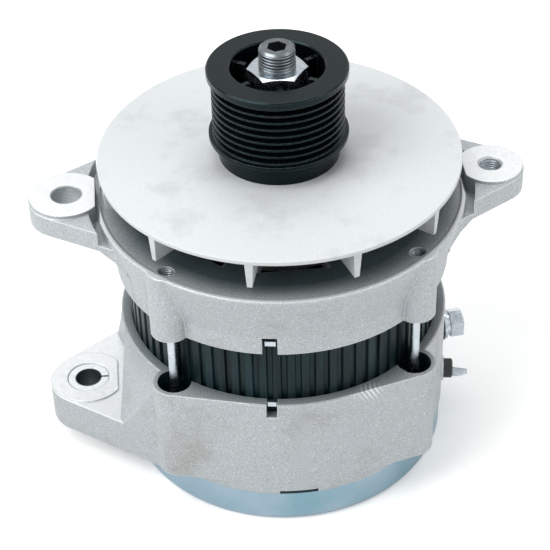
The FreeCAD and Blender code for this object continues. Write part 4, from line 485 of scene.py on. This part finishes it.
# Thread ridges: a small square section wound along a helix
ridges = bpy.data.node_groups.new("rolled_thread", "GeometryNodeTree")
ridges.interface.new_socket("Geometry", in_out="OUTPUT", socket_type="NodeSocketGeometry")
for name, kind in (("Radius", "NodeSocketFloat"), ("Length", "NodeSocketFloat"),
                   ("Turns", "NodeSocketFloat"), ("Ridge", "NodeSocketFloat"),
                   ("Start", "NodeSocketVector"), ("Finish", "NodeSocketMaterial")):
    ridges.interface.new_socket(name, in_out="INPUT", socket_type=kind)
given = add(ridges, "NodeGroupInput")
path = add(ridges, "GeometryNodeCurveSpiral", {
    "Resolution": 48, "Rotations": given.outputs["Turns"], "Start Radius": given.outputs["Radius"],
    "End Radius": given.outputs["Radius"], "Height": given.outputs["Length"]})
section = add(ridges, "GeometryNodeCurvePrimitiveCircle", {"Resolution": 4,
                                                           "Radius": given.outputs["Ridge"]})
ridge = add(ridges, "GeometryNodeCurveToMesh", {"Curve": path.outputs[0],
                                                "Profile Curve": section.outputs[0],
                                                "Fill Caps": True})
placed = add(ridges, "GeometryNodeTransform", {"Geometry": ridge.outputs[0],
                                               "Translation": given.outputs["Start"]})
whole = add(ridges, "GeometryNodeRealizeInstances", {"Geometry": placed.outputs[0]})
finished = add(ridges, "GeometryNodeSetMaterial", {"Geometry": whole.outputs[0],
                                                   "Material": given.outputs["Finish"]})
add(ridges, "NodeGroupOutput", {"Geometry": finished.outputs[0]})


def bake(name, tree, values):
    """A plain mesh object made by a node tree with the given inputs."""
    seed = bpy.data.objects.new(name + "_seed", bpy.data.meshes.new(name + "_seed"))
    scene.collection.objects.link(seed)
    maker = seed.modifiers.new("maker", "NODES")
    maker.node_group = tree
    for item in tree.interface.items_tree:
        if item.in_out == "INPUT" and item.name in values:
            maker[item.identifier] = values[item.name]
    ready = seed.evaluated_get(bpy.context.evaluated_depsgraph_get())
    mesh = bpy.data.meshes.new_from_object(ready)
    seed.modifiers.clear()
    bpy.data.objects.remove(seed)
    mesh.name = name
    piece = bpy.data.objects.new(name, mesh)
    scene.collection.objects.link(piece)
    return piece


def thread(name, body, finish, radius, length, pitch, ridge, start):
    """Thread ridges wound on a cylinder, sizes in mm."""
    piece = bake(name, ridges, {
        "Radius": radius * MM, "Length": length * MM, "Turns": length / pitch, "Ridge": ridge * MM,
        "Start": tuple(value * MM for value in start), "Finish": finish})
    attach(piece, body)


thread("shaft_thread", "rotor", ground_steel,
       radius=7.75, length=9.0, pitch=1.5, ridge=0.62, start=(0, 0, 207.2))


# Threads in the front bracket
# The right ear is tapped for the adjusting strap's bolt, the four bosses for the through bolts.
# Freshly cut ridges are as bright as the plated bolts, so they take the same finish.

thread("strap_thread", "housing", zinc_plate,
       radius=5.15, length=9.6, pitch=1.25, ridge=0.36, start=(99.0, 0, 135.2))
for number, (east, north) in enumerate(((1, 1), (-1, 1), (-1, -1), (1, -1)), 1):
    thread(f"boss_thread_{number}", "housing", zinc_plate,
           radius=3.45, length=4.0, pitch=1.0, ridge=0.32,
           start=(east * POCKET_AT, north * POCKET_AT, 134.7))


# Rear cover
# A pan pressed from steel sheet, plated in pale blue zinc.
# The plating shades from steel blue to teal, with a soft sheen.

material, tree, shader = new_finish("blue_zinc_sheet", "#AEBFCB", 0.85, 0.36)
spot = add(tree, "ShaderNodeTexCoord").outputs["Object"]
HUE_STEP = 24     # mm, from one shade of the plating to the next
FOLD = 0.6        # mm, outer radius of the pan's folded edges
cloud = add(tree, "ShaderNodeTexNoise", {"Vector": spot, "Scale": 1 / (HUE_STEP * MM),
                                         "Detail": 3.0})
tone = add(tree, "ShaderNodeMix", {"Factor": add(tree, "ShaderNodeMapRange", {
    "Value": cloud.outputs["Fac"], "From Min": 0.35, "From Max": 0.7}).outputs[0],
    "A": linear("#95A8B6"), "B": linear("#7C9CA8")}, data_type="RGBA")
tree.links.new(tone.outputs["Result"], shader.inputs["Base Color"])
rounded = add(tree, "ShaderNodeBevel", {"Radius": FOLD * MM}, samples=4)
tree.links.new(rounded.outputs[0], shader.inputs["Normal"])
dress(material, "rear_cover")


# Rectifier plates and diodes
# Two aluminium plates carry the pressed diodes; they are hidden by the cover.
# The plates are bright milled aluminium.

material, tree, shader = new_finish("milled_aluminium", "#C9CCCE", 1.0, 0.36)
spot = add(tree, "ShaderNodeTexCoord").outputs["Object"]
MILL_STEP = 0.7   # mm, from one milling mark to the next, drawn coarse so that they show
mill = add(tree, "ShaderNodeTexNoise", {
    "Vector": add(tree, "ShaderNodeMapping", {"Vector": spot, "Scale": (1, 0.1, 1)}).outputs[0],
    "Scale": 1 / (MILL_STEP * MM), "Detail": 3.0})
tone = add(tree, "ShaderNodeMix", {"Factor": mill.outputs["Fac"], "A": linear("#B5B9BC"),
                                   "B": linear("#DADDDF")}, data_type="RGBA")
tree.links.new(tone.outputs["Result"], shader.inputs["Base Color"])
dress(material, "positive_heat_sink", "negative_heat_sink", "positive_diodes", "negative_diodes")


# Insulators, bobbin and regulator
# Moulded from glass-filled black polyamide, with a fine dull grain.
# They keep the terminals and the coils off the metal.

material, tree, shader = new_finish("black_polyamide", "#161616", 0.0, 0.5)
shader.inputs["IOR"].default_value = 1.53
spot = add(tree, "ShaderNodeTexCoord").outputs["Object"]
MOULD_GRAIN = 0.8   # mm, spark-eroded grain, drawn coarse so that it shows
grain = add(tree, "ShaderNodeTexNoise", {"Vector": spot, "Scale": 1 / (MOULD_GRAIN * MM),
                                         "Detail": 2.0})
tone = add(tree, "ShaderNodeMix", {"Factor": grain.outputs["Fac"], "A": linear("#0F0F10"),
                                   "B": linear("#222324")}, data_type="RGBA")
tree.links.new(tone.outputs["Result"], shader.inputs["Base Color"])
relief = add(tree, "ShaderNodeBump", {"Height": grain.outputs["Fac"], "Strength": 0.2,
                                      "Distance": 0.1 * MM})
tree.links.new(relief.outputs[0], shader.inputs["Normal"])
dress(material, "output_insulator", "phase_insulator", "field_bobbin", "voltage_regulator")
